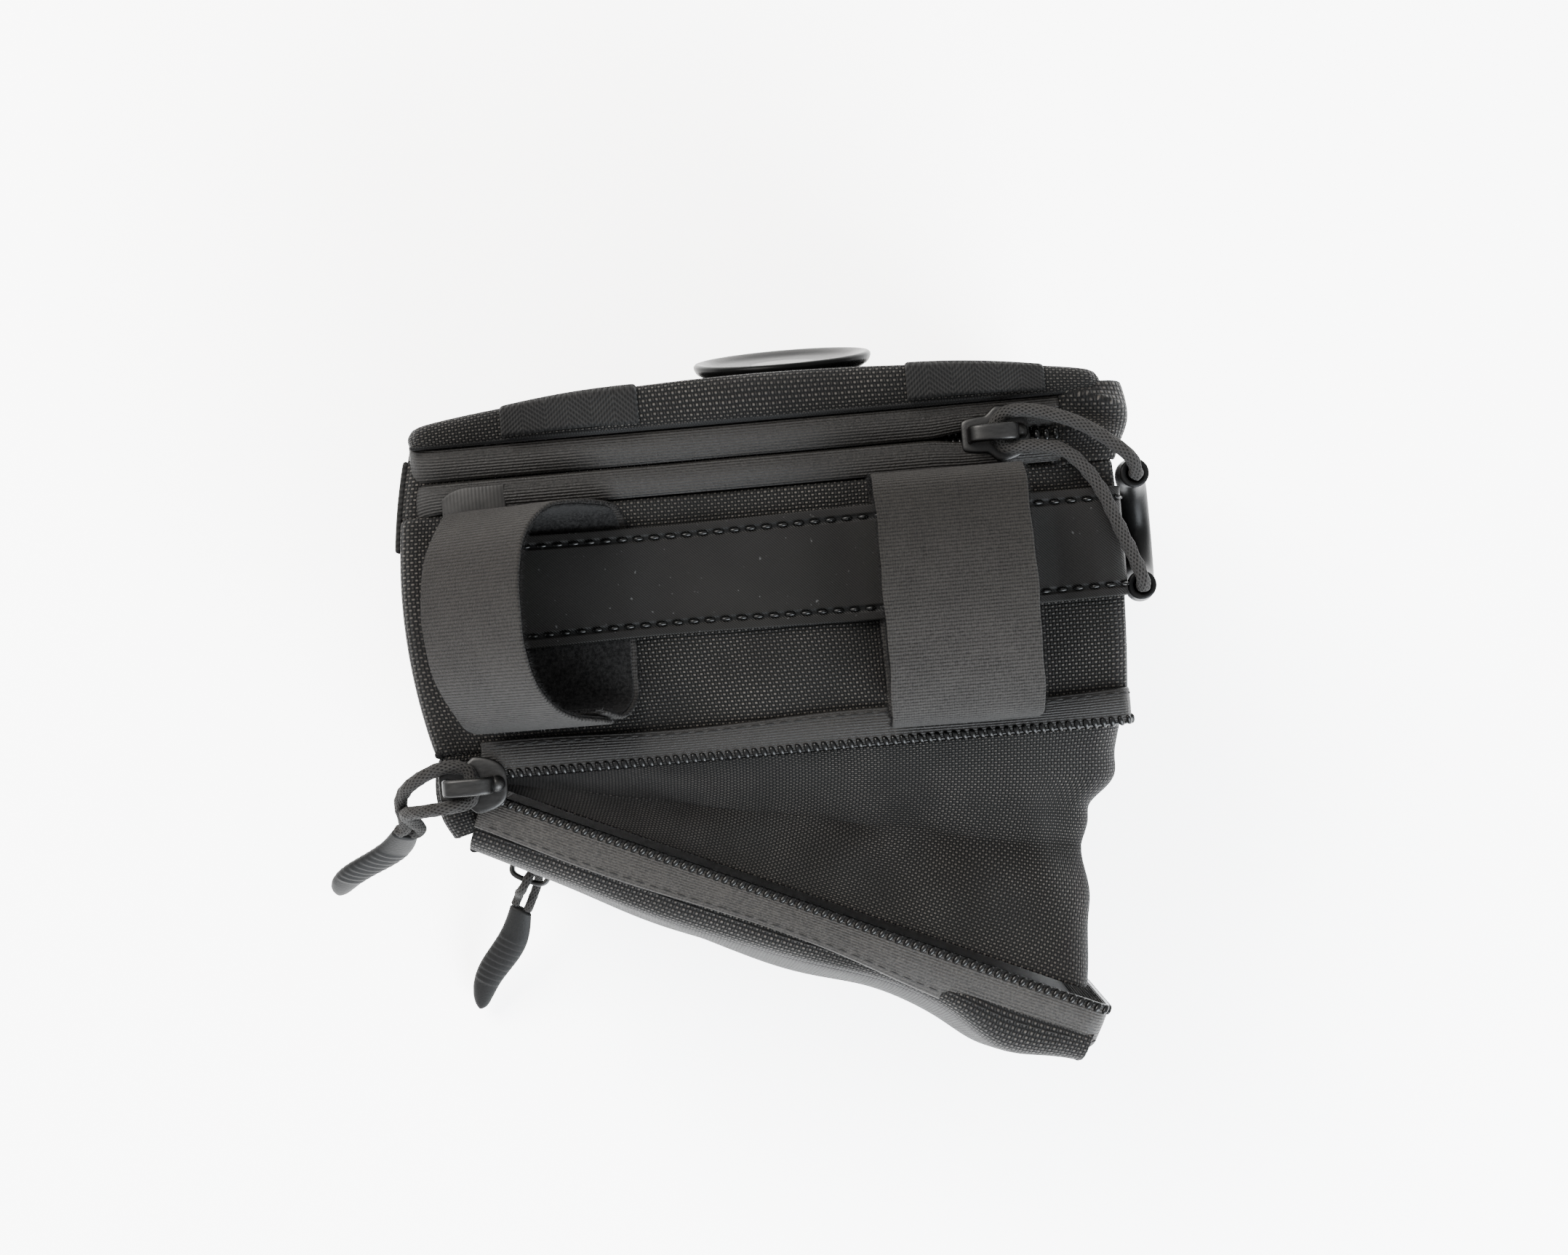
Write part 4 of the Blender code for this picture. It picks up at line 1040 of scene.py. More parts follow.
GAP = 0.3 * MM
slider("main_zip_slider", "main_slider", "main_slider", np.array([SLIDER_X, main_seam, TOP]), np.eye(3),
       (-TAPE - COIL - 3 * GAP, GAP))
slider("expansion_zip_slider", "expansion_slider", "expansion_slider", np.array([HINGE_X, seam, TOP]),
       np.eye(3), (-GAP, TAPE + 6 * GAP))
lean = math.atan2(BASE_DEPTH - TOP_DEPTH, TOP)
cos, sin = math.cos(OPEN), math.sin(OPEN)
face_up = np.array([sin * math.sin(lean), cos * math.sin(lean), math.cos(lean)])
face_along = np.array([cos, -sin, 0.0])
face_out = np.cross(face_along, face_up)
slider("pocket_zip_slider", "pocket_slider", "pocket_slider",
       on_front(POCKET_SLIDER, front_depth(POCKET_Z), POCKET_Z), np.array([face_along, face_up, face_out]),
       (-COIL - 2 * GAP, GAP))

# ---------------------------------------------------------------------------------------------------
# Straps. Two 32 mm hook-and-loop straps run under the anchor strip and close over the tube. Each is a
# canvas band with a fleecy loop layer sewn inside it, black overlocked edges, and a cut end with fuzz.


def canvas_finish():
    """Strap canvas: raised cross ribs and finer warp, painted dark and warm at the rear as painted shade,
    lighter to the front as painted light.
    """
    look = Finish("strap_canvas", Specular_IOR_Level=0.03, Roughness=0.88, Sheen_Weight=0.02,
                  Sheen_Roughness=0.6)
    u, v = look.cloth()
    rib = abs((u * math.pi / 0.75).sin())
    warp = abs((v * math.pi / 0.5).sin())
    # Painted light: fade runs the colour from the dark, warm rear tone of painted shade to the lighter front
    # tone where the fill light falls.
    fade = 1 - look.place(1).step(-24.0, 30.0)
    nap = look.noise(0.45, detail=4.0, rough=0.7).step(0.25, 0.75)
    patch = look.noise(7.0, detail=3.0)
    tint = (rib * 0.3 + warp * 0.15 + nap * 0.35 + patch * 0.2).step(0.1, 0.9)
    rear = look.greys(tint, 0.0005, 0.0095, 0.11)
    front = look.greys(tint, 0.0015, 0.021, 0.05)
    return look.close(Base_Color=look.mix(fade, rear, front), Normal=look.bump(rib * 0.5 + nap * 0.5, 0.4))


def pile_finish():
    """Brushed loop pile: soft clumps over a dark ground."""
    look = Finish("loop_pile", Specular_IOR_Level=0.02, Roughness=0.95, Sheen_Weight=0.02,
                  Sheen_Roughness=0.5)
    clump = look.noise(0.7, detail=5.0, rough=0.7)
    return look.close(Base_Color=look.greys(clump.step(0.3, 0.75), 0.0012, 0.00825, 0.02),
                      Normal=look.bump(clump, 0.5))


def whisker():
    """One fibre: a three-sided spike from z = 0 to z = 1, bent a little halfway up."""
    turn = 2 * np.pi * np.arange(3) / 3
    ring = np.stack([np.cos(turn), np.sin(turn), 0 * turn], axis=1)
    points = np.vstack([ring, ring * 0.7 + (0.6, 0.2, 0.5), [[0.2, 0.9, 1.0]]])
    faces = [(2, 1, 0)]
    for k in range(3):
        n = (k + 1) % 3
        faces += [(k, n, 3 + n), (k, 3 + n, 3 + k), (3 + k, 3 + n, 6)]
    return points, np.array(faces)


WHISKER = whisker()


def fuzz(name, spots, out, long, finish, body, seed, blend=None):
    """Fibres at the given spots, each leaning at random about its out direction, 0.4 to 1 times long."""
    random = np.random.default_rng(seed)
    spots = spots + random.normal(0.0, 0.12 * MM, spots.shape)
    lean = out + random.normal(0.0, 0.55, spots.shape)
    lean = unit(lean)
    side = np.cross(lean, random.normal(0.0, 1.0, spots.shape))
    side = unit(side)
    high = long * random.uniform(0.4, 1.0, (len(spots), 1))
    thick = 0.05 * MM
    axes = np.stack([side * thick, np.cross(lean, side) * thick, lean * high], axis=1)
    made = repeated(name, WHISKER, spots, axes, finish)
    if blend:
        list(blend[:2])
        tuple(blend[2])
        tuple(blend[3])
        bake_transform(made)
        return made
    return fit(made, body, "hook_and_loop")


CANVAS = canvas_finish()
PILE = pile_finish()
edge_look = Finish("strap_edge", Specular_IOR_Level=0.02, Roughness=0.95, Sheen_Weight=0.02,
                   Sheen_Roughness=0.5)
EDGE = edge_look.close(Base_Color=edge_look.greys(edge_look.noise(0.4, detail=4.0), 0.00075, 0.0045))
pale_look = Finish("strap_fray", Roughness=0.9, Sheen_Weight=0.02)
FRAY = pale_look.close(Base_Color=pale_look.greys(pale_look.noise(0.6), 0.0075, 0.024, 0.04))
STRAP_WIDTH = 32.0 * MM
RUN = 0.75 + GAP / MM


def strap_layer(path, shift, x, lean, wide, wave=0.0):
    """place() of one strap layer: the path moved inwards by shift, from -wide/2 to wide/2 about x.

    The edges wander by a sum of two sines. A leaning strap also rolls over by 45 degrees as it rises.
    """
    along = np.gradient(path, axis=0)
    along = unit(along)
    moved = path + np.stack([-along[:, 1], along[:, 0]], axis=1) * shift
    total = reach(moved)[-1]

    def place(u, v):
        spot = read_along(moved, u)
        spot = spot + (u - np.clip(u, 0.0, total))[..., None] * along[-1]
        share = v / wide - 0.5
        wander = wave * (np.sin(u / (4.1 * MM)) + 0.6 * np.sin(u / (1.7 * MM) + 1.0)) * share
        rise = held((spot[..., 1] - TOP) / (26 * MM))
        roll = math.radians(45.0) * (lean > 0) * rise * rise * (3 - 2 * rise)
        off = share * wide + wander
        across = x + off * np.cos(roll) - lean * (spot[..., 1] - TOP)
        height = spot[..., 1] + (off * 0.8 - 3.0 * MM) * np.sin(roll)
        return joined(across, spot[..., 0], height)

    return place, total


def strap(side, x, lean, lower, upper, fold_to):
    """One strap: the loop that is sewn down, and the end that peels back about the fold at its rear."""
    lift = np.array([0.0, TOP])
    fold = upper[0]
    start = (x - lean * fold[1] * MM, fold[0] * MM, TOP + fold[1] * MM)
    end = (x - lean * fold_to[1] * MM, fold_to[0] * MM, TOP + fold_to[1] * MM)
    for part, route, body in (("loop", lower, "main"), ("end", upper, f"strap_{side}_end")):
        path = smooth(np.array(route) * MM + lift, 90)
        blend = ("main", body, start, end) if part == "end" else None
        pieces = []
        for layer, shift, thick, wide, finish in (
                ("band", -0.33 * MM, 0.82 * MM, STRAP_WIDTH, CANVAS),
                ("pile", 0.45 * MM, 0.62 * MM, STRAP_WIDTH - 1.6 * MM, PILE)):
            place, total = strap_layer(path, shift, x, lean, wide, 0.25 * MM)
            pieces.append(panel(f"strap_{side}_{part}_{layer}", place, (total, wide), (110, 40), thick,
                                finish))
        for piece in pieces:
            if blend:
                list(blend[:2])
                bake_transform(piece)
            else:
                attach(piece, body)
            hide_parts(f"strap_{side}_{part}")
        place, total = strap_layer(path, 0.0, x, lean, STRAP_WIDTH)
        random = np.random.default_rng(11 if part == "loop" else 12)
        for edge, v in (("left", 0.0), ("right", STRAP_WIDTH)):
            u = random.uniform(0.0, total, 700)
            out = np.tile([-1.0 if v == 0.0 else 1.0, 0.0, 0.0], (len(u), 1))
            spots = place(u, np.full(len(u), v)) + random.normal(0.0, 0.15 * MM, (len(u), 3))
            fuzz(f"strap_{side}_{part}_fuzz_{edge}", spots, out, 1.1 * MM, EDGE, body, 5, blend)
        u = np.full(420, total if part == "end" else 0.0)
        tail = path[-1] - path[-2] if part == "end" else path[0] - path[1]
        tail = unit(tail)
        out = np.tile([0.0, tail[0], tail[1]], (len(u), 1))
        spots = place(u, random.uniform(0.3 * MM, STRAP_WIDTH - 0.3 * MM, len(u)))
        fuzz(f"strap_{side}_{part}_fray", spots, out, 1.3 * MM, FRAY, body, 6, blend)


strap("right", 37.0 * MM, 0.0,
      [(-20.3, 13.5), (-20.8, 8.0), (-18.2, 2.6), (-12.0, RUN), (4.0, RUN), (20.0, RUN), (25.3, RUN),
       (29.2, 4.4), (30.0, 12.2)],
      [(30.1, 11.6), (29.4, 17.0), (25.6, 21.4), (14.0, 24.2), (0.0, 25.0), (-12.0, 23.4), (-20.6, 18.4),
       (-22.8, 11.0)], (25.6, 21.4))
strap("left", -48.0 * MM, 0.5,
      [(-14.2, 12.0), (-15.6, 6.6), (-12.4, 2.2), (-6.0, RUN), (6.0, RUN), (20.0, RUN), (25.3, RUN),
       (29.2, 4.6), (30.0, 13.4)],
      [(30.1, 12.7), (28.6, 21.0), (21.0, 28.4), (8.0, 31.0), (-5.0, 28.6), (-13.6, 20.6), (-16.6, 10.0)],
      (24.0, 22.0))

# ---------------------------------------------------------------------------------------------------
# Anchor strip. One band of coated twill, sewn down along both edges over the straps' lower runs, and
# turned down over the right-hand end of the pouch.
strip_look = Finish("strip_twill", Specular_IOR_Level=0.07)
u, v = strip_look.cloth()
twill = ((u + v) * 2 * math.pi / 0.62).sin() * 0.5 + 0.5
dust = strip_look.noise(1.1, detail=1.0).step(0.74, 0.8)
cloud = strip_look.noise(16.0, detail=3.0)
low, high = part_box("anchor_strip")
middle = (high[1] - low[1]) * 500.0
# Painted shade: the colour is darkened along both stitch rows, where the thread sinks the strip into grooves,
# which the bump sinks too.
stitch_groove_and_shade = abs(abs(v - middle) - (middle - 2.6)).step(0.25, 0.95)
ground = strip_look.greys((twill * 0.6 + cloud * 0.4) * stitch_groove_and_shade, 0.0004, 0.0055, 0.08)
STRIP = strip_look.close(Base_Color=strip_look.mix(dust * 0.6, ground, grey(0.03)),
                         Roughness=0.48 + cloud * 0.14,
                         Normal=strip_look.bump(twill * 0.2 + stitch_groove_and_shade * 0.8, 0.35))
strip_z = (low[2] + high[2]) / 2
wrap_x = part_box("right_wall")[1][0] + 0.6 * MM
wrap = np.vstack([[[low[0], strip_z]], quarter(wrap_x, strip_z, 2.6 * MM, 9), [[wrap_x, TOP - 11.0 * MM]]])
wrap = evenly(wrap, 400)


def strip_place(u, v):
    """The strip's middle: along its wrap, dipping to the top panel wherever no strap lifts it."""
    spot = read_along(wrap, u)
    x = spot[..., 0]
    lifted = sum(np.exp(-((x - c) / (19.0 * MM)) ** 6) for c in (37.0 * MM, -48.0 * MM))
    flat = held((wrap_x - 6 * MM - x) / (8 * MM))
    drop = 1.3 * MM * (1.0 - held(lifted)) * flat
    edge = 2.0 * v / (high[1] - low[1]) - 1.0
    soft = 0.25 * MM * np.cos(np.pi * edge / 2) * np.sin(x / (11.0 * MM)) * flat
    y = low[1] + v + 0.35 * MM * np.sin(x / (17.0 * MM)) * edge
    return joined(x, y, spot[..., 1] - drop + soft)


strip_width = high[1] - low[1]
strip = panel("anchor_band", strip_place, (reach(wrap)[-1], strip_width), (200, 40), 0.9 * MM, STRIP)
fit(strip, "main", "coated_strip", "anchor_strip")
for name, v in (("front", 2.6 * MM), ("rear", strip_width - 2.6 * MM)):
    u = np.linspace(2.0 * MM, reach(wrap)[-1] - 1.0 * MM, 300)
    row = strip_place(u, np.full(len(u), v))
    step = strip_place(u + 0.1 * MM, np.full(len(u), v)) - row
    up = np.stack([-step[:, 2], 0 * u, step[:, 0]], axis=1)
    up = unit(up)
    stitches(f"stitches_anchor_{name}", row + up * 0.6 * MM, (0.02, 0, 1), 2.6 * MM, 0.9 * MM, "main",
             0.9 * MM, COIL_BLACK)

# ---------------------------------------------------------------------------------------------------
# Webbing. Two 30 mm herringbone loops are sewn behind the back's top edge and run down the back, and a
# plain piece of the same webbing covers the left wall's rear half.


def webbing_finish():
    """Herringbone webbing: diagonal ridges that change hand every 5 mm across it."""
    look = Finish("webbing_herringbone", Specular_IOR_Level=0.05, Roughness=0.72, Sheen_Weight=0.02,
                  Sheen_Roughness=0.45)
    u, v = look.cloth()
    chevron = abs(v % 10.0 - 5.0)
    ridge = ((u + chevron) * 2 * math.pi / 1.3).sin() * 0.5 + 0.5
    yarn = abs((v * math.pi / 0.6).sin()) * 0.4 + ridge * 0.6
    tint = look.greys(yarn * (look.noise(1.2, detail=3.0) * 0.7 + 0.5), 0.0012, 0.00825, 0.03)
    return look.close(Base_Color=tint, Normal=look.bump(yarn, 0.25))


WEBBING = webbing_finish()
for side in ("left", "right"):
    low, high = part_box(f"webbing_loop_{side}")
    thick = high[1] - BACK_FACE - GAP
    over = thick / 2 + GAP
    path = np.vstack([[[low[1] + 0.4 * MM, BACK_TOP + over]],
                      quarter(BACK_FACE + over, BACK_TOP + over, over, 12), [[BACK_FACE + over, low[2]]]])
    path = evenly(path, 160)

    def webbing_place(u, v):
        """The webbing's middle: along its path over the top and down the back, straight across it."""
        spot = read_along(path, u)
        puff = 0.35 * MM * np.sin(np.pi * held(v / (high[0] - low[0])))
        return joined(low[0] + v, spot[..., 0] + puff, spot[..., 1] + puff * 0.4)

    wide = high[0] - low[0]
    made = panel(f"webbing_{side}", webbing_place, (reach(path)[-1], wide), (120, 30), thick, WEBBING)
    fit(eased(made), "main", "webbing", f"webbing_loop_{side}")
    for row_z in (TOP - 14.0 * MM, TOP - 66.0 * MM):
        row = np.array([[low[0] + 2 * MM, high[1] + 0.4 * MM, row_z],
                        [high[0] - 2 * MM, high[1] + 0.4 * MM, row_z]])
        eased(stitches(f"stitches_webbing_{side}_{int(row_z / MM)}", row, (0, 1, 0), 2.4 * MM, 0.6 * MM,
                       "main", 0.5 * MM))

low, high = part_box("left_side_webbing")
wall_low, wall_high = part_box("left_wall")


def side_webbing(u, v):
    """The side webbing's middle: upright on the left wall's bow, just clear of it."""
    y = low[1] + u
    across = held((y - wall_low[1]) / (wall_high[1] - wall_low[1]))
    bow = LEFT_BULGE * 4.0 * across * (1.0 - across)
    return joined(wall_low[0] + LEFT_BULGE - bow - 1.15 * MM, y, low[2] + v)


made = panel("webbing_side", side_webbing, (high[1] - low[1], high[2] - low[2]), (24, 50), 1.5 * MM, WEBBING)
fit(made, "main", "webbing", "left_side_webbing")

# ---------------------------------------------------------------------------------------------------
# Rear puck. A dished round mount of glossy injection-moulded plastic on a plinth that is screwed
# through the padded back. Both are turned shapes, tipped a little upwards.
gloss_look = Finish("puck_gloss", Specular_IOR_Level=0.025)
smear = gloss_look.noise(6.0, detail=4.0)
PUCK = gloss_look.close(Base_Color=gloss_look.greys(smear, 0.00075, 0.0018), Roughness=0.2 + smear * 0.16,
                        Normal=gloss_look.bump(gloss_look.noise(3.0), 0.02))
PUCK_TILT = math.radians(12.0)
puck_low, puck_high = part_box("rear_puck")
RADIUS = (puck_high[0] - puck_low[0]) / 2
tip = np.array([0.0, math.cos(PUCK_TILT), math.sin(PUCK_TILT)])
puck_x = np.array([1.0, 0.0, 0.0])
puck_up = np.cross(tip, puck_x)
puck_centre = (np.array(puck_low) + np.array(puck_high)) / 2 - tip * 0.2 * MM


def turned(name, profile, finish, sides=96):
    """A turned shape: a profile of radius and height spun round the puck's axis, from pole to pole."""
    outline = smooth(np.array(profile) * MM, 70)
    spin = 2 * np.pi * np.arange(sides + 1) / sides
    r, h = np.abs(outline[:, :1]), outline[:, 1:]
    flat = r[..., None] * (np.cos(spin)[None, :, None] * puck_x + np.sin(spin)[None, :, None] * puck_up)
    points = puck_centre + flat + h[..., None] * tip
    cloth = joined(reach(outline)[:, None], spin[None] * RADIUS)
    return grid_mesh(name, [(points, cloth)], finish)


puck_r = RADIUS / MM
dish = turned("puck_dish", [(0, -1.9), (puck_r - 6, -1.9), (puck_r - 1.4, -0.6), (puck_r - 0.1, 1.1),
                            (puck_r - 0.3, 2.0), (puck_r - 1.2, 2.3), (puck_r - 2.6, 1.9), (puck_r - 6, 0.8),
                            (8, 0.35), (7.2, 0.9), (0, 0.9)], PUCK)
fit(dish, "main", "moulded_plastic", "rear_puck")
frame["nodes"]["rear_puck_plinth"].data.materials[0] = PUCK

# ---------------------------------------------------------------------------------------------------
# Expansion zip. A heavier coil zip that runs along the front of the top and down the right-hand end. It is
# drawn open, so each coated tape shows its coil as a row of beads along its free edge.
TAPE_TOP = TOP + GAP + TAPE


def turned_line(x0, x1, drop):
    """A line in X and Z along the top, round a quarter circle, and down the right-hand end."""
    z = TAPE_TOP - TAPE / 2
    return evenly(np.vstack([[[x0, z]], quarter(x1, z, 3.4 * MM, 12), [[x1, z - drop]]]), 420)


def zip_edge(name, line, seam_y, side, width, body, nodes, at, finish, flare=0.0):
    """One half of the expansion zip: a tape along the line, its coil's beads and core, and a stitch row.

    at(x, y, z) places it. The tape is a low rounded ridge that ripples softly, and its coil edge rises by
    0.3 mm where it is free. Towards the right-hand end it is pulled flare wider and rolls downwards.
    """
    total = reach(line)[-1]

    def tape_place(u, v):
        spot = read_along(line, u)
        free = 1.0 - held(v / width)
        ripple = 0.15 * MM * free * free * (1.0 + np.sin(u / (6.3 * MM) + 1.3 * side) * 0.6)
        ripple = ripple + 0.08 * MM * np.sin(u / (2.9 * MM)) * free
        fade = held((spot[..., 1] - TOP + 4 * MM) / (4 * MM))
        share = held(v / width)
        ridge = 0.75 * MM * np.sin(np.pi * share) ** 0.8 * (1.0 + 0.2 * np.sin(u / (10.0 * MM)))
        late = held((u - 0.33 * total) / (0.2 * total))
        late = late * late * (3 - 2 * late) * share * share * fade
        wander = 0.5 * MM * np.sin(u / (12.0 * MM) + side) * share * fade
        y = seam_y + side * (v + flare * late + wander)
        return at(spot[..., 0], y, spot[..., 1] + (ripple + ridge) * fade - 1.4 * flare * late)

    tape = panel(f"expansion_tape_{name}", tape_place, (total, width), (280, 20), TAPE * 0.9, finish,
                 edge=0.6 * MM)
    fit(tape, body, "coated_tape", nodes[0])
    pitch = 1.9 * MM
    u = np.arange(2.4 * MM, total - 1.0 * MM, pitch)
    centre = tape_place(u, np.full(len(u), 0.75 * MM))
    along = tape_place(u + 0.1 * MM, np.full(len(u), 0.75 * MM)) - centre
    along = unit(along)
    across = centre - tape_place(u, np.full(len(u), 0.95 * MM))
    across = unit(across)
    up = np.cross(along, across) * -side
    up *= np.sign(up[:1, 2:])
    skew = across + 0.25 * along
    axes = np.stack([along * pitch * 0.4, skew * 1.2 * MM, up * 0.72 * MM], axis=1)
    fit(repeated(f"expansion_beads_{name}", pill(2), centre + up * 0.45 * MM, axes, COIL_BLACK), body,
        "coil", nodes[1])
    core = tape_place(np.linspace(1 * MM, total, 300), np.full(300, 0.25 * MM)) + 0.05 * MM
    lay, core_side, core_up = carried(core)
    wide = np.full((300, 1), 0.55 * MM)
    fit(grid_mesh(f"expansion_core_{name}", [rings(core, core_side, core_up, wide, wide, 10)], COIL_BLACK),
        body, "coil")
    u = np.linspace(3.0 * MM, total - 2.0 * MM, 400)
    row = tape_place(u, np.full(len(u), width - 1.3 * MM))
    lift_by = tape_place(u, np.full(len(u), width - 1.1 * MM)) - row
    forward = np.gradient(row, axis=0)
    out = np.cross(forward, lift_by) * side
    out = unit(out)
    out *= np.sign(out[:1, 2:])
    stitches(f"stitches_expansion_{name}", row + out * 0.42 * MM, out[0], 2.4 * MM, 0.7 * MM, body, 0.4 * MM)


low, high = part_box("expansion_zip_tape_rear")
rear_line = turned_line(low[0], high[0] - TAPE / 2, high[2] - low[2] - 1.0 * MM)
zip_edge("rear", rear_line, HINGE_Y + 0.3 * MM, 1, high[1] - HINGE_Y - 0.3 * MM, "main",
         ("expansion_zip_tape_rear", "expansion_zip_coil_rear"), lambda x, y, z: joined(x, y, z), COATED)
FRONT_START, FRONT_END = 3.0 * MM, 146.0 * MM
front_line = turned_line(FRONT_START, FRONT_END + GAP + TAPE / 2, 97.0 * MM)
# The front tape's finish is a lighter copy of the coated tape: painted light where the fill light falls on
# the front.
zip_edge("front", front_line, -SLIT - 0.2 * MM, -1, 8.2 * MM, "front_compartment",
         ("expansion_zip_tape_front", "expansion_zip_coil_front"), lambda x, y, z: on_front(x, -y, z),
         tape_finish("coated_tape_painted_lighter", 0.02), 3.0 * MM)

# ---------------------------------------------------------------------------------------------------
# Expansion gusset. One sheet of shell weave joins the two halves of the zip. It is swept about the hinge,
# over the top and down the free end, and is folded inwards to a crease.
NEAR, REACH = 4.5 * MM, 142.0 * MM
HIGH, LOW = TOP - 2.4 * MM, 1.2 * MM
upper = quarter(REACH, HIGH, 6.0 * MM, 9)
lower = joined(upper[:, 0], LOW + HIGH - upper[:, 1])[::-1]
profile = evenly(np.vstack([[[NEAR, HIGH]], upper, lower, [[NEAR, LOW]]]), 300)
PROFILE = reach(profile)[-1]
WIDE = REACH * OPEN


def gusset_place(u, v):
    """The gusset's middle: polar about the hinge, with a V fold across it and soft pulled creases.

    The fold sinks 20 mm at the free end and nothing at the hinge; the free end itself is drawn in by 6 mm.
    The creases are sines that run from the seams towards the fold and die away at both seams.
    """
    spot = read_along(profile, u)
    r, z = spot[..., 0], spot[..., 1]
    share = held(v / WIDE)
    fold = (1.0 - np.sqrt((2 * share - 1) ** 2 + 0.004) + 0.002)
    fold = held(fold) * held((r - NEAR) / (REACH - NEAR))
    over = held((z - 0.75 * TOP) / (0.25 * TOP))
    out = held((r - 0.85 * REACH) / (0.15 * REACH))
    free = np.sin(np.pi * share) * held((r - NEAR) / (40 * MM))
    side = np.sign(share - 0.5)
    pulled = np.sin(r / (5.3 * MM) + 6.0 * share * side + 0.9 * np.sin(r / (13.0 * MM)))
    pulled = pulled + 0.5 * np.sin(r / (2.9 * MM) - 9.0 * share) + 0.8 * np.sin(z / (7.0 * MM) + 5.0 * share)
    wrinkle = 1.15 * MM * free * pulled
    tuck = 1.8 * MM * np.exp(-((share - 0.2) / 0.07) ** 2) - 1.6 * MM * np.exp(-((share - 0.32) / 0.06) ** 2)
    tuck = tuck + 1.5 * MM * np.exp(-((share - 0.66) / 0.1) ** 2)
    radius = r - 6.0 * MM * fold * out + (wrinkle * (1.0 - over) + tuck) * out
    height = z - 20.0 * MM * fold * over + wrinkle * over + 4.0 * MM * fold * (1.0 - over) * (z < 0.2 * TOP)
    swing = -OPEN * share
    return joined(HINGE_X + radius * np.cos(swing), HINGE_Y + radius * np.sin(swing), height)


gusset = panel("gusset_cloth", gusset_place, (PROFILE, WIDE), (420, 90), 0.9 * MM, SHELL)
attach(gusset, "main")
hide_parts("expansion_gusset")
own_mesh(gusset)

# ---------------------------------------------------------------------------------------------------
# Front compartment. A flat pocket of shell weave that swings on its left edge: an inner skin, an outer
# skin in two panels on either side of the pocket's zip, and a narrow band round all four sides.


def front_panel(name, node, slot, place, size, counts, thick, finish, **shape):
    return fit(panel(name, place, size, counts, thick, finish, **shape), "front_compartment", slot, node)


INNER_FACE, SKIN = 6.3 * MM, 1.5 * MM
FRONT_TOP = TOP - GAP
LONG = FRONT_END - FRONT_START


def soft_face(z0, z1, thick, swell):
    """place() of an outer panel on the leaning face, swollen by crossed sine arches and slack waves."""
    def place(u, v):
        z = z0 + v
        across = held(u / LONG)
        up = held(v / (z1 - z0))
        arch = (np.sin(np.pi * across) ** 0.5) * np.sin(np.pi * up) ** 0.7
        wave = np.sin(9.0 * across + 3.0 * up) * 0.6 + np.sin(6.0 * up - 5.0 * across + 1.0) * 0.6
        wave = wave + 0.35 * np.sin(21.0 * across + 9.0 * up * up)
        rim = np.sin(np.pi * across) ** 0.4 * up ** 6 * np.sin(12.0 * across + 0.7) * 1.3 * MM
        out = front_depth(z) - thick / 2 + arch * (swell + 0.9 * MM * wave) + rim * (z1 > 0.06)
        return on_front(FRONT_START + u, out, z)
    return place


low_z, high_z = POCKET_Z - 8.0 * MM, POCKET_Z + 8.0 * MM
front_panel("front_face_lower", "front_outer_lower", "shell_weave",
            soft_face(0.0, low_z - GAP, SKIN, 0.6 * MM), (LONG, low_z - GAP), (70, 14), SKIN, SHELL)
shoulder = TOP_DEPTH - SKIN / 2 + 0.3 * MM
rolled = np.vstack([[[front_depth(high_z) - SKIN / 2, high_z + GAP]],
                    quarter(shoulder, FRONT_TOP - SKIN / 2, 5.0 * MM, 8, 0.0, 90.0),
                    [[8.3 * MM, FRONT_TOP - SKIN / 2]]])
rolled = evenly(rolled, 300)
FACE = reach(rolled)[-1]


def rolled_face(u, v):
    """The upper panel's middle: up the leaning face, over a rounded shoulder, and back to the zip's tape.

    The face swells by crossed sine arches. Its shoulder stands out 3 mm near the free end and is drawn in
    before that, as a full pocket's does, and slack waves run down from it.
    """
    across = held(u / LONG)
    up = held(v / FACE)
    spot = read_along(rolled, v)
    arch = np.sin(np.pi * across) ** 0.5 * np.sin(np.pi * held(up / 0.9)) ** 0.7
    wave = 0.6 * np.sin(9.0 * across + 3.0 * up) + 0.6 * np.sin(6.0 * up - 5.0 * across + 1.0)
    wave = wave + 0.35 * np.sin(21.0 * across + 9.0 * up * up)
    stand = 3.4 * np.exp(-((across - 0.88) / 0.075) ** 2) - 2.4 * np.exp(-((across - 0.68) / 0.12) ** 2)
    stand = (stand + 0.8 * np.exp(-((across - 0.32) / 0.14) ** 2)) * MM * held(up / 0.4)
    lift = held((spot[..., 0] - 8.3 * MM) / (shoulder - 8.3 * MM))
    out = spot[..., 0] + arch * (3.4 * MM + 0.9 * MM * wave) + stand * lift
    ripple = 0.5 * MM * np.sin(np.pi * lift) * (np.sin(17.0 * across) + 0.6 * np.sin(41.0 * across))
    return on_front(FRONT_START + u, out, spot[..., 1] + ripple * (up > 0.9))


front_panel("front_face_upper", "front_outer_upper", "shell_weave", rolled_face, (LONG, FACE), (140, 110),
            SKIN, SHELL)
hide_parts("front_band_top")
front_panel("front_inner_cloth", "front_inner_panel", "lining",
            lambda u, v: on_front(FRONT_START + u, INNER_FACE + SKIN / 2, v), (LONG, FRONT_TOP), (50, 36),
            SKIN, LINING)
NEAR_OUT = INNER_FACE + SKIN + GAP


def band(name, node, place, size, counts):
    front_panel(name, node, "shell_weave", place, size, counts, SKIN, SHELL)


def across_depth(v, z):
    """Distance out from the hinge's plane at share v of the band's width at height z."""
    return NEAR_OUT + v * (front_depth(z) - SKIN - GAP - NEAR_OUT)


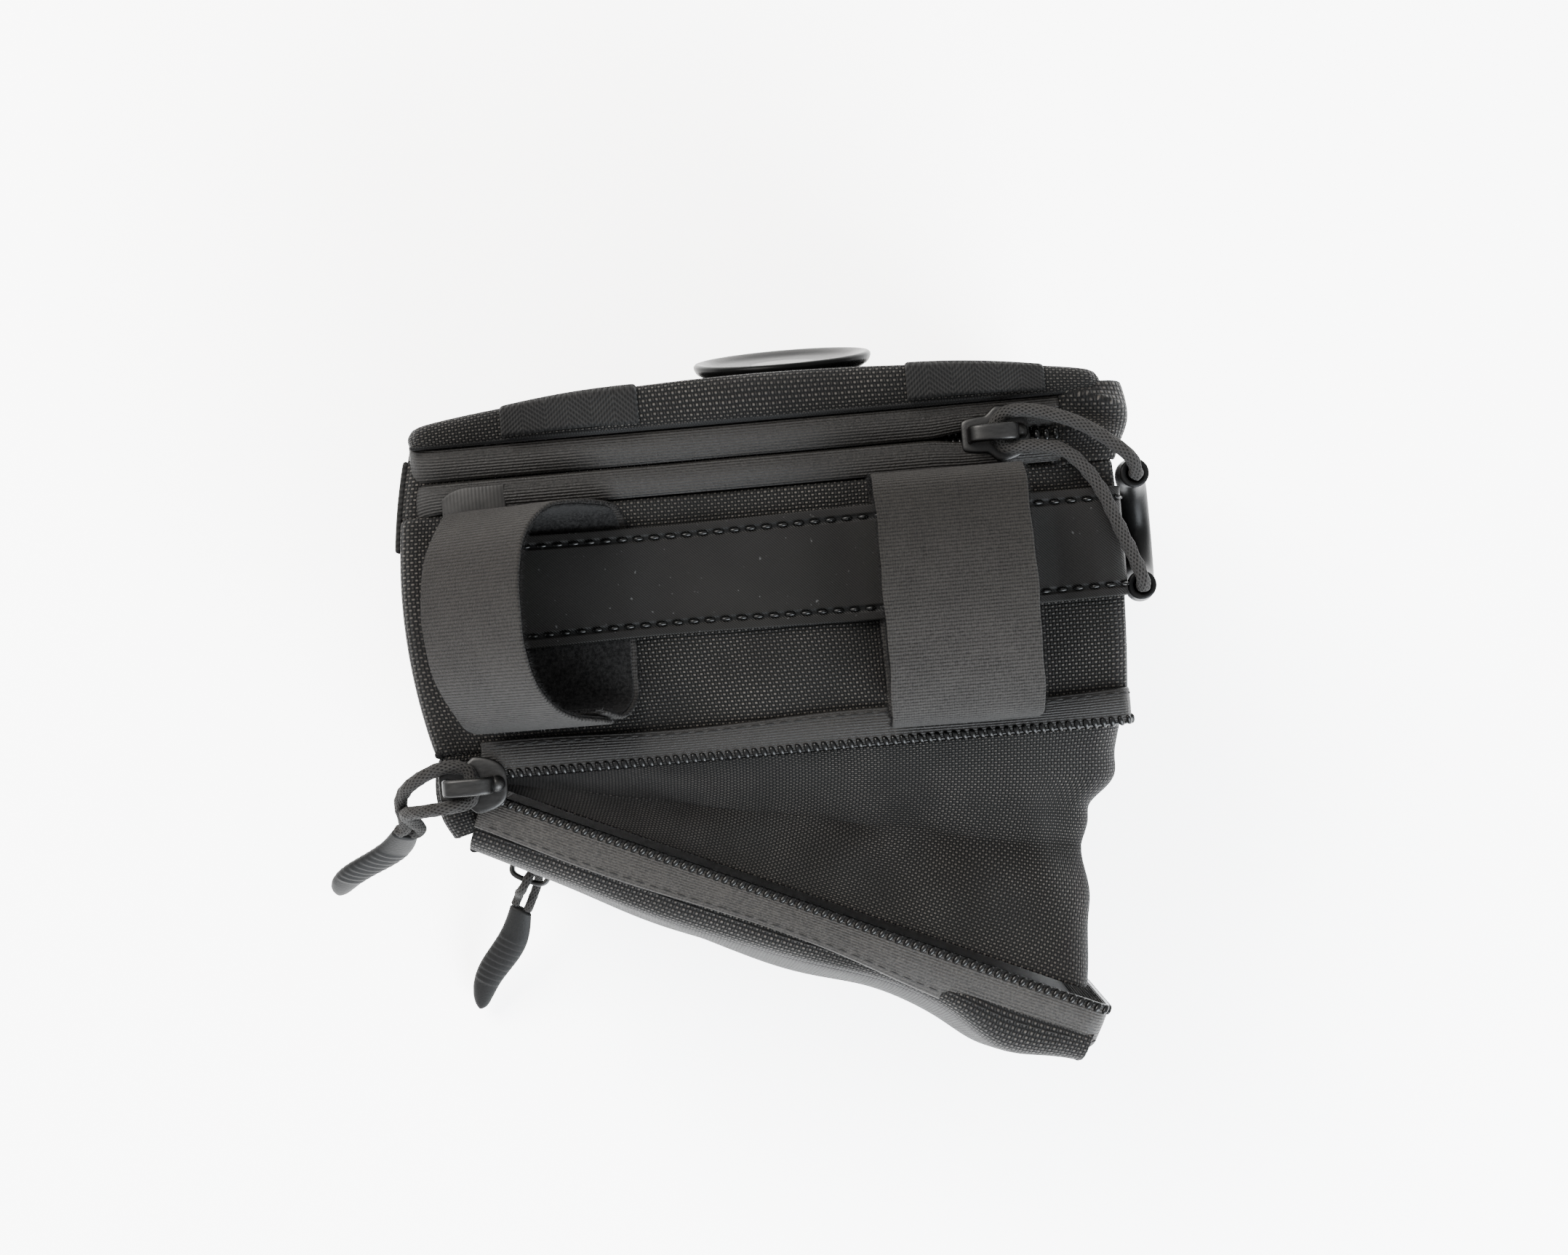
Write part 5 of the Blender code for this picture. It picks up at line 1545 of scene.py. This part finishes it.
width = float(front_depth(SKIN / 2) - SKIN - GAP - NEAR_OUT)
band("front_side_base", "front_band_base",
     lambda u, v: on_front(FRONT_START + u, across_depth(v / width, SKIN / 2), SKIN / 2 + 0 * u),
     (LONG, width), (70, 10))
for part, x in (("left", FRONT_START + SKIN / 2), ("right", FRONT_END - SKIN / 2)):
    tall = FRONT_TOP - 2 * SKIN - 2 * GAP
    width = 12.0 * MM
    band(f"front_side_{part}", f"front_band_{part}",
         lambda u, v, x=x: on_front(x + 0 * u, across_depth(u / width, SKIN + GAP + v), SKIN + GAP + v),
         (width, tall), (10, 44))

# Piping: a thin cord wrapped in tape is sewn into the seams, which keeps the compartment's edges round.
FRONT_LOW = 1.0 * MM


def piping(name, points, radius, body):
    """A wrapped seam cord: a round tube on a softly wandering path through the seam's corners."""
    path = np.array(points)
    path = read_along(path, np.linspace(0.0, reach(path)[-1], max(60, int(reach(path)[-1] / MM))))
    far = reach(path)[:, None]
    path = path + 0.18 * MM * np.hstack([np.sin(far / (7 * MM)), np.sin(far / (9 * MM) + 1), 0 * far])
    lay, out_side, out_up = carried(path)
    wide = np.full((len(path), 1), radius)
    return fit(grid_mesh(name, [rings(path, out_side, out_up, wide, wide, 14)], PIPING_TAPE), body,
               "shell_weave")


def front_corner(x, z, proud=0.2 * MM):
    return on_front(x, front_depth(z) + proud, z)


def softened(corners, radius=4.0 * MM, steps=7):
    """The same outline with each inner corner cut to an arc: a quadratic curve between two points near it."""
    out = [corners[0]]
    for before, corner, after in zip(corners, corners[1:], corners[2:]):
        start = corner + unit(before - corner) * radius
        end = corner + unit(after - corner) * radius
        t = np.linspace(0.0, 1.0, steps)[:, None]
        out += list((1 - t) ** 2 * start + 2 * t * (1 - t) * corner + t * t * end)
    return np.array(out + [corners[-1]])


shoulder_z = FRONT_TOP - 5.0 * MM
x0, x1 = FRONT_START + 1 * MM, FRONT_END - 1 * MM
outline = [front_corner(x0, shoulder_z, -0.6 * MM), front_corner(x0, FRONT_LOW),
           front_corner(x1, FRONT_LOW), front_corner(x1, shoulder_z, -0.6 * MM)]
piping("front_piping", softened(outline), 0.95 * MM, "front_compartment")
right_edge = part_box("right_wall")[1][0] - 1.5 * MM
left_edge = wall_low[0] + 4.8 * MM
front_edge = wall_low[1] + 0.2 * MM
for name, x, y, top in (("front_right", right_edge, front_edge, 1.0 * MM),
                        ("front_left", left_edge, front_edge, 1.0 * MM),
                        ("rear_right", BACK_HIGH[0] - 0.2 * MM, REAR, 5.0 * MM),
                        ("rear_left", BACK_LOW[0] + 0.4 * MM, REAR, 5.0 * MM)):
    piping(f"seam_{name}", [(x, y, 2 * MM), (x, y, TOP - top)], 0.9 * MM, "main")
base_low, base_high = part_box("base_skin")
z = base_high[2] + 0.2 * MM
corners = ((0, base_low[1]), (base_high[0], base_low[1]), (base_high[0], base_high[1]),
           (base_low[0], base_high[1]), (base_low[0], base_low[1]), (0, base_low[1]))
eased(piping("seam_base", softened([np.array((x, y, z)) for x, y in corners]), 0.9 * MM, "main"))

# Both ends of the pocket's zip are covered with a small square of the shell weave, sewn on.
for part, x0, x1 in (("left", FRONT_START, 6.5 * MM), ("right", 138.4 * MM, FRONT_END)):
    def end_patch(u, v, x0=x0):
        """The square's middle, just proud of the leaning face."""
        z = low_z - 1.0 * MM + v
        return on_front(x0 + u, front_depth(z) + 0.15 * MM, z)

    made = panel(f"pocket_end_{part}", end_patch, (x1 - x0, high_z - low_z + 2.0 * MM), (10, 16), 1.1 * MM,
                 SHELL)
    fit(made, "front_compartment", "shell_weave")

# The pocket's zip lies in the outer face: two coated tapes, a closed coil between them, and its stitching.
ends = (5.0 * MM, 138.0 * MM)
for part, z0, z1 in (("lower", low_z, POCKET_Z - 0.35 * MM), ("upper", POCKET_Z + 0.35 * MM, high_z)):
    front_panel(f"pocket_tape_{part}", f"pocket_zip_tape_{part}", "coated_tape",
                lambda u, v, z0=z0: on_front(ends[0] + u, front_depth(z0 + v) - TAPE / 2, z0 + v),
                (ends[1] - ends[0], z1 - z0), (80, 12), TAPE * 0.9, COATED)
    side = -1 if part == "lower" else 1
    x = np.arange(ends[0] + 2 * MM, ends[1], 1.5 * MM) + (0.75 * MM if side > 0 else 0.0)
    spots = on_front(x, front_depth(POCKET_Z) - 0.1 * MM, POCKET_Z + side * 0.75 * MM)
    axes = np.stack([face_along * 0.55 * MM, face_up * 1.05 * MM, face_out * 0.7 * MM])
    fit(repeated(f"pocket_teeth_{part}", PILL, spots, axes, COIL_BLACK), "front_compartment", "coil",
        f"pocket_zip_coil_{part}")
    z = z0 + 1.0 * MM if part == "lower" else z1 - 1.0 * MM
    row = on_front(np.array([ends[0] + 2 * MM, ends[1] - 2 * MM]), front_depth(z) + 0.05 * MM, z)
    stitches(f"stitches_pocket_{part}", row, face_out, 2.4 * MM, 0.6 * MM, "front_compartment", 0.4 * MM)
u = np.linspace(4 * MM, LONG - 4 * MM, 200)
lower_face = soft_face(0.0, low_z - GAP, SKIN, 0.6 * MM)
row = lower_face(u, np.full(len(u), 4.0 * MM)) + face_out * (SKIN / 2 + 0.1 * MM)
stitches("stitches_face_low", row, face_out, 2.6 * MM, 0.7 * MM, "front_compartment", 0.42 * MM)
row = rolled_face(u, np.full(len(u), FACE - 2.0 * MM)) + np.array([0.0, 0.0, SKIN / 2 + 0.05 * MM])
stitches("stitches_face_top", row, (0.0, 0.0, 1.0), 2.6 * MM, 0.7 * MM, "front_compartment", 0.42 * MM)

# ---------------------------------------------------------------------------------------------------
# Side fold. The strip of shell weave that joins the left wall to the front compartment, with slack for
# the swing, and the narrow binding that covers its raw top edge.
fold_low, fold_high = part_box("side_fold")
shell_left, shell_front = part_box("back_lining")[0][0], wall_low[1]
bends = np.array([(0.4, -GAP / MM), (-0.9, -4.0), (-1.2, -9.0), (-0.2, -14.0), (2.2, -18.5)])
route = smooth(bends * MM + (shell_left, shell_front), 40)
FOLD = reach(route)[-1]


def fold_place(u, v):
    """The side fold's middle: upright on its route, with slack waves that are deepest halfway along it."""
    spot = read_along(route, u)
    slack = np.sin(np.pi * held(u / FOLD)) * np.sin(v / (9.0 * MM) + u / (6.0 * MM)) * 0.7 * MM
    return joined(spot[..., 0] + 0.7 * MM - slack, spot[..., 1], fold_low[2] + v)


made = panel("side_fold_cloth", fold_place, (FOLD, fold_high[2] - fold_low[2]), (26, 60), 1.2 * MM, SHELL)
FOLD_BLEND = ((HINGE_X, shell_front - 3 * MM, 0.0), (HINGE_X, shell_front - 16 * MM, 0.0))
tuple(FOLD_BLEND[0])
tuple(FOLD_BLEND[1])
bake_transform(made)
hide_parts("side_fold")


def hinge_cover(u, v):
    """The cover's middle: from the side fold's top edge in to the zip, rolled down along its outer edge."""
    spot = read_along(route, u)
    share = held(v / (12.0 * MM))
    inner = joined(0 * u + HINGE_X + 3.0 * MM, shell_front - 16.0 * MM * held(u / FOLD))
    flat = spot + (inner - spot) * share[..., None]
    near = held(1.0 - share / 0.3)
    sag = 1.2 * MM * np.sin(np.pi * share) * np.sin(u / (3.0 * MM))
    z = TOP - 1.4 * MM - sag - 3.2 * MM * (1.0 - np.sqrt(1.0 - near * near))
    return joined(flat[..., 0], flat[..., 1], z)


made = panel("hinge_cover", hinge_cover, (FOLD, 12.0 * MM), (24, 20), 1.1 * MM, SHELL)
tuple(FOLD_BLEND[0])
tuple(FOLD_BLEND[1])
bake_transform(made)
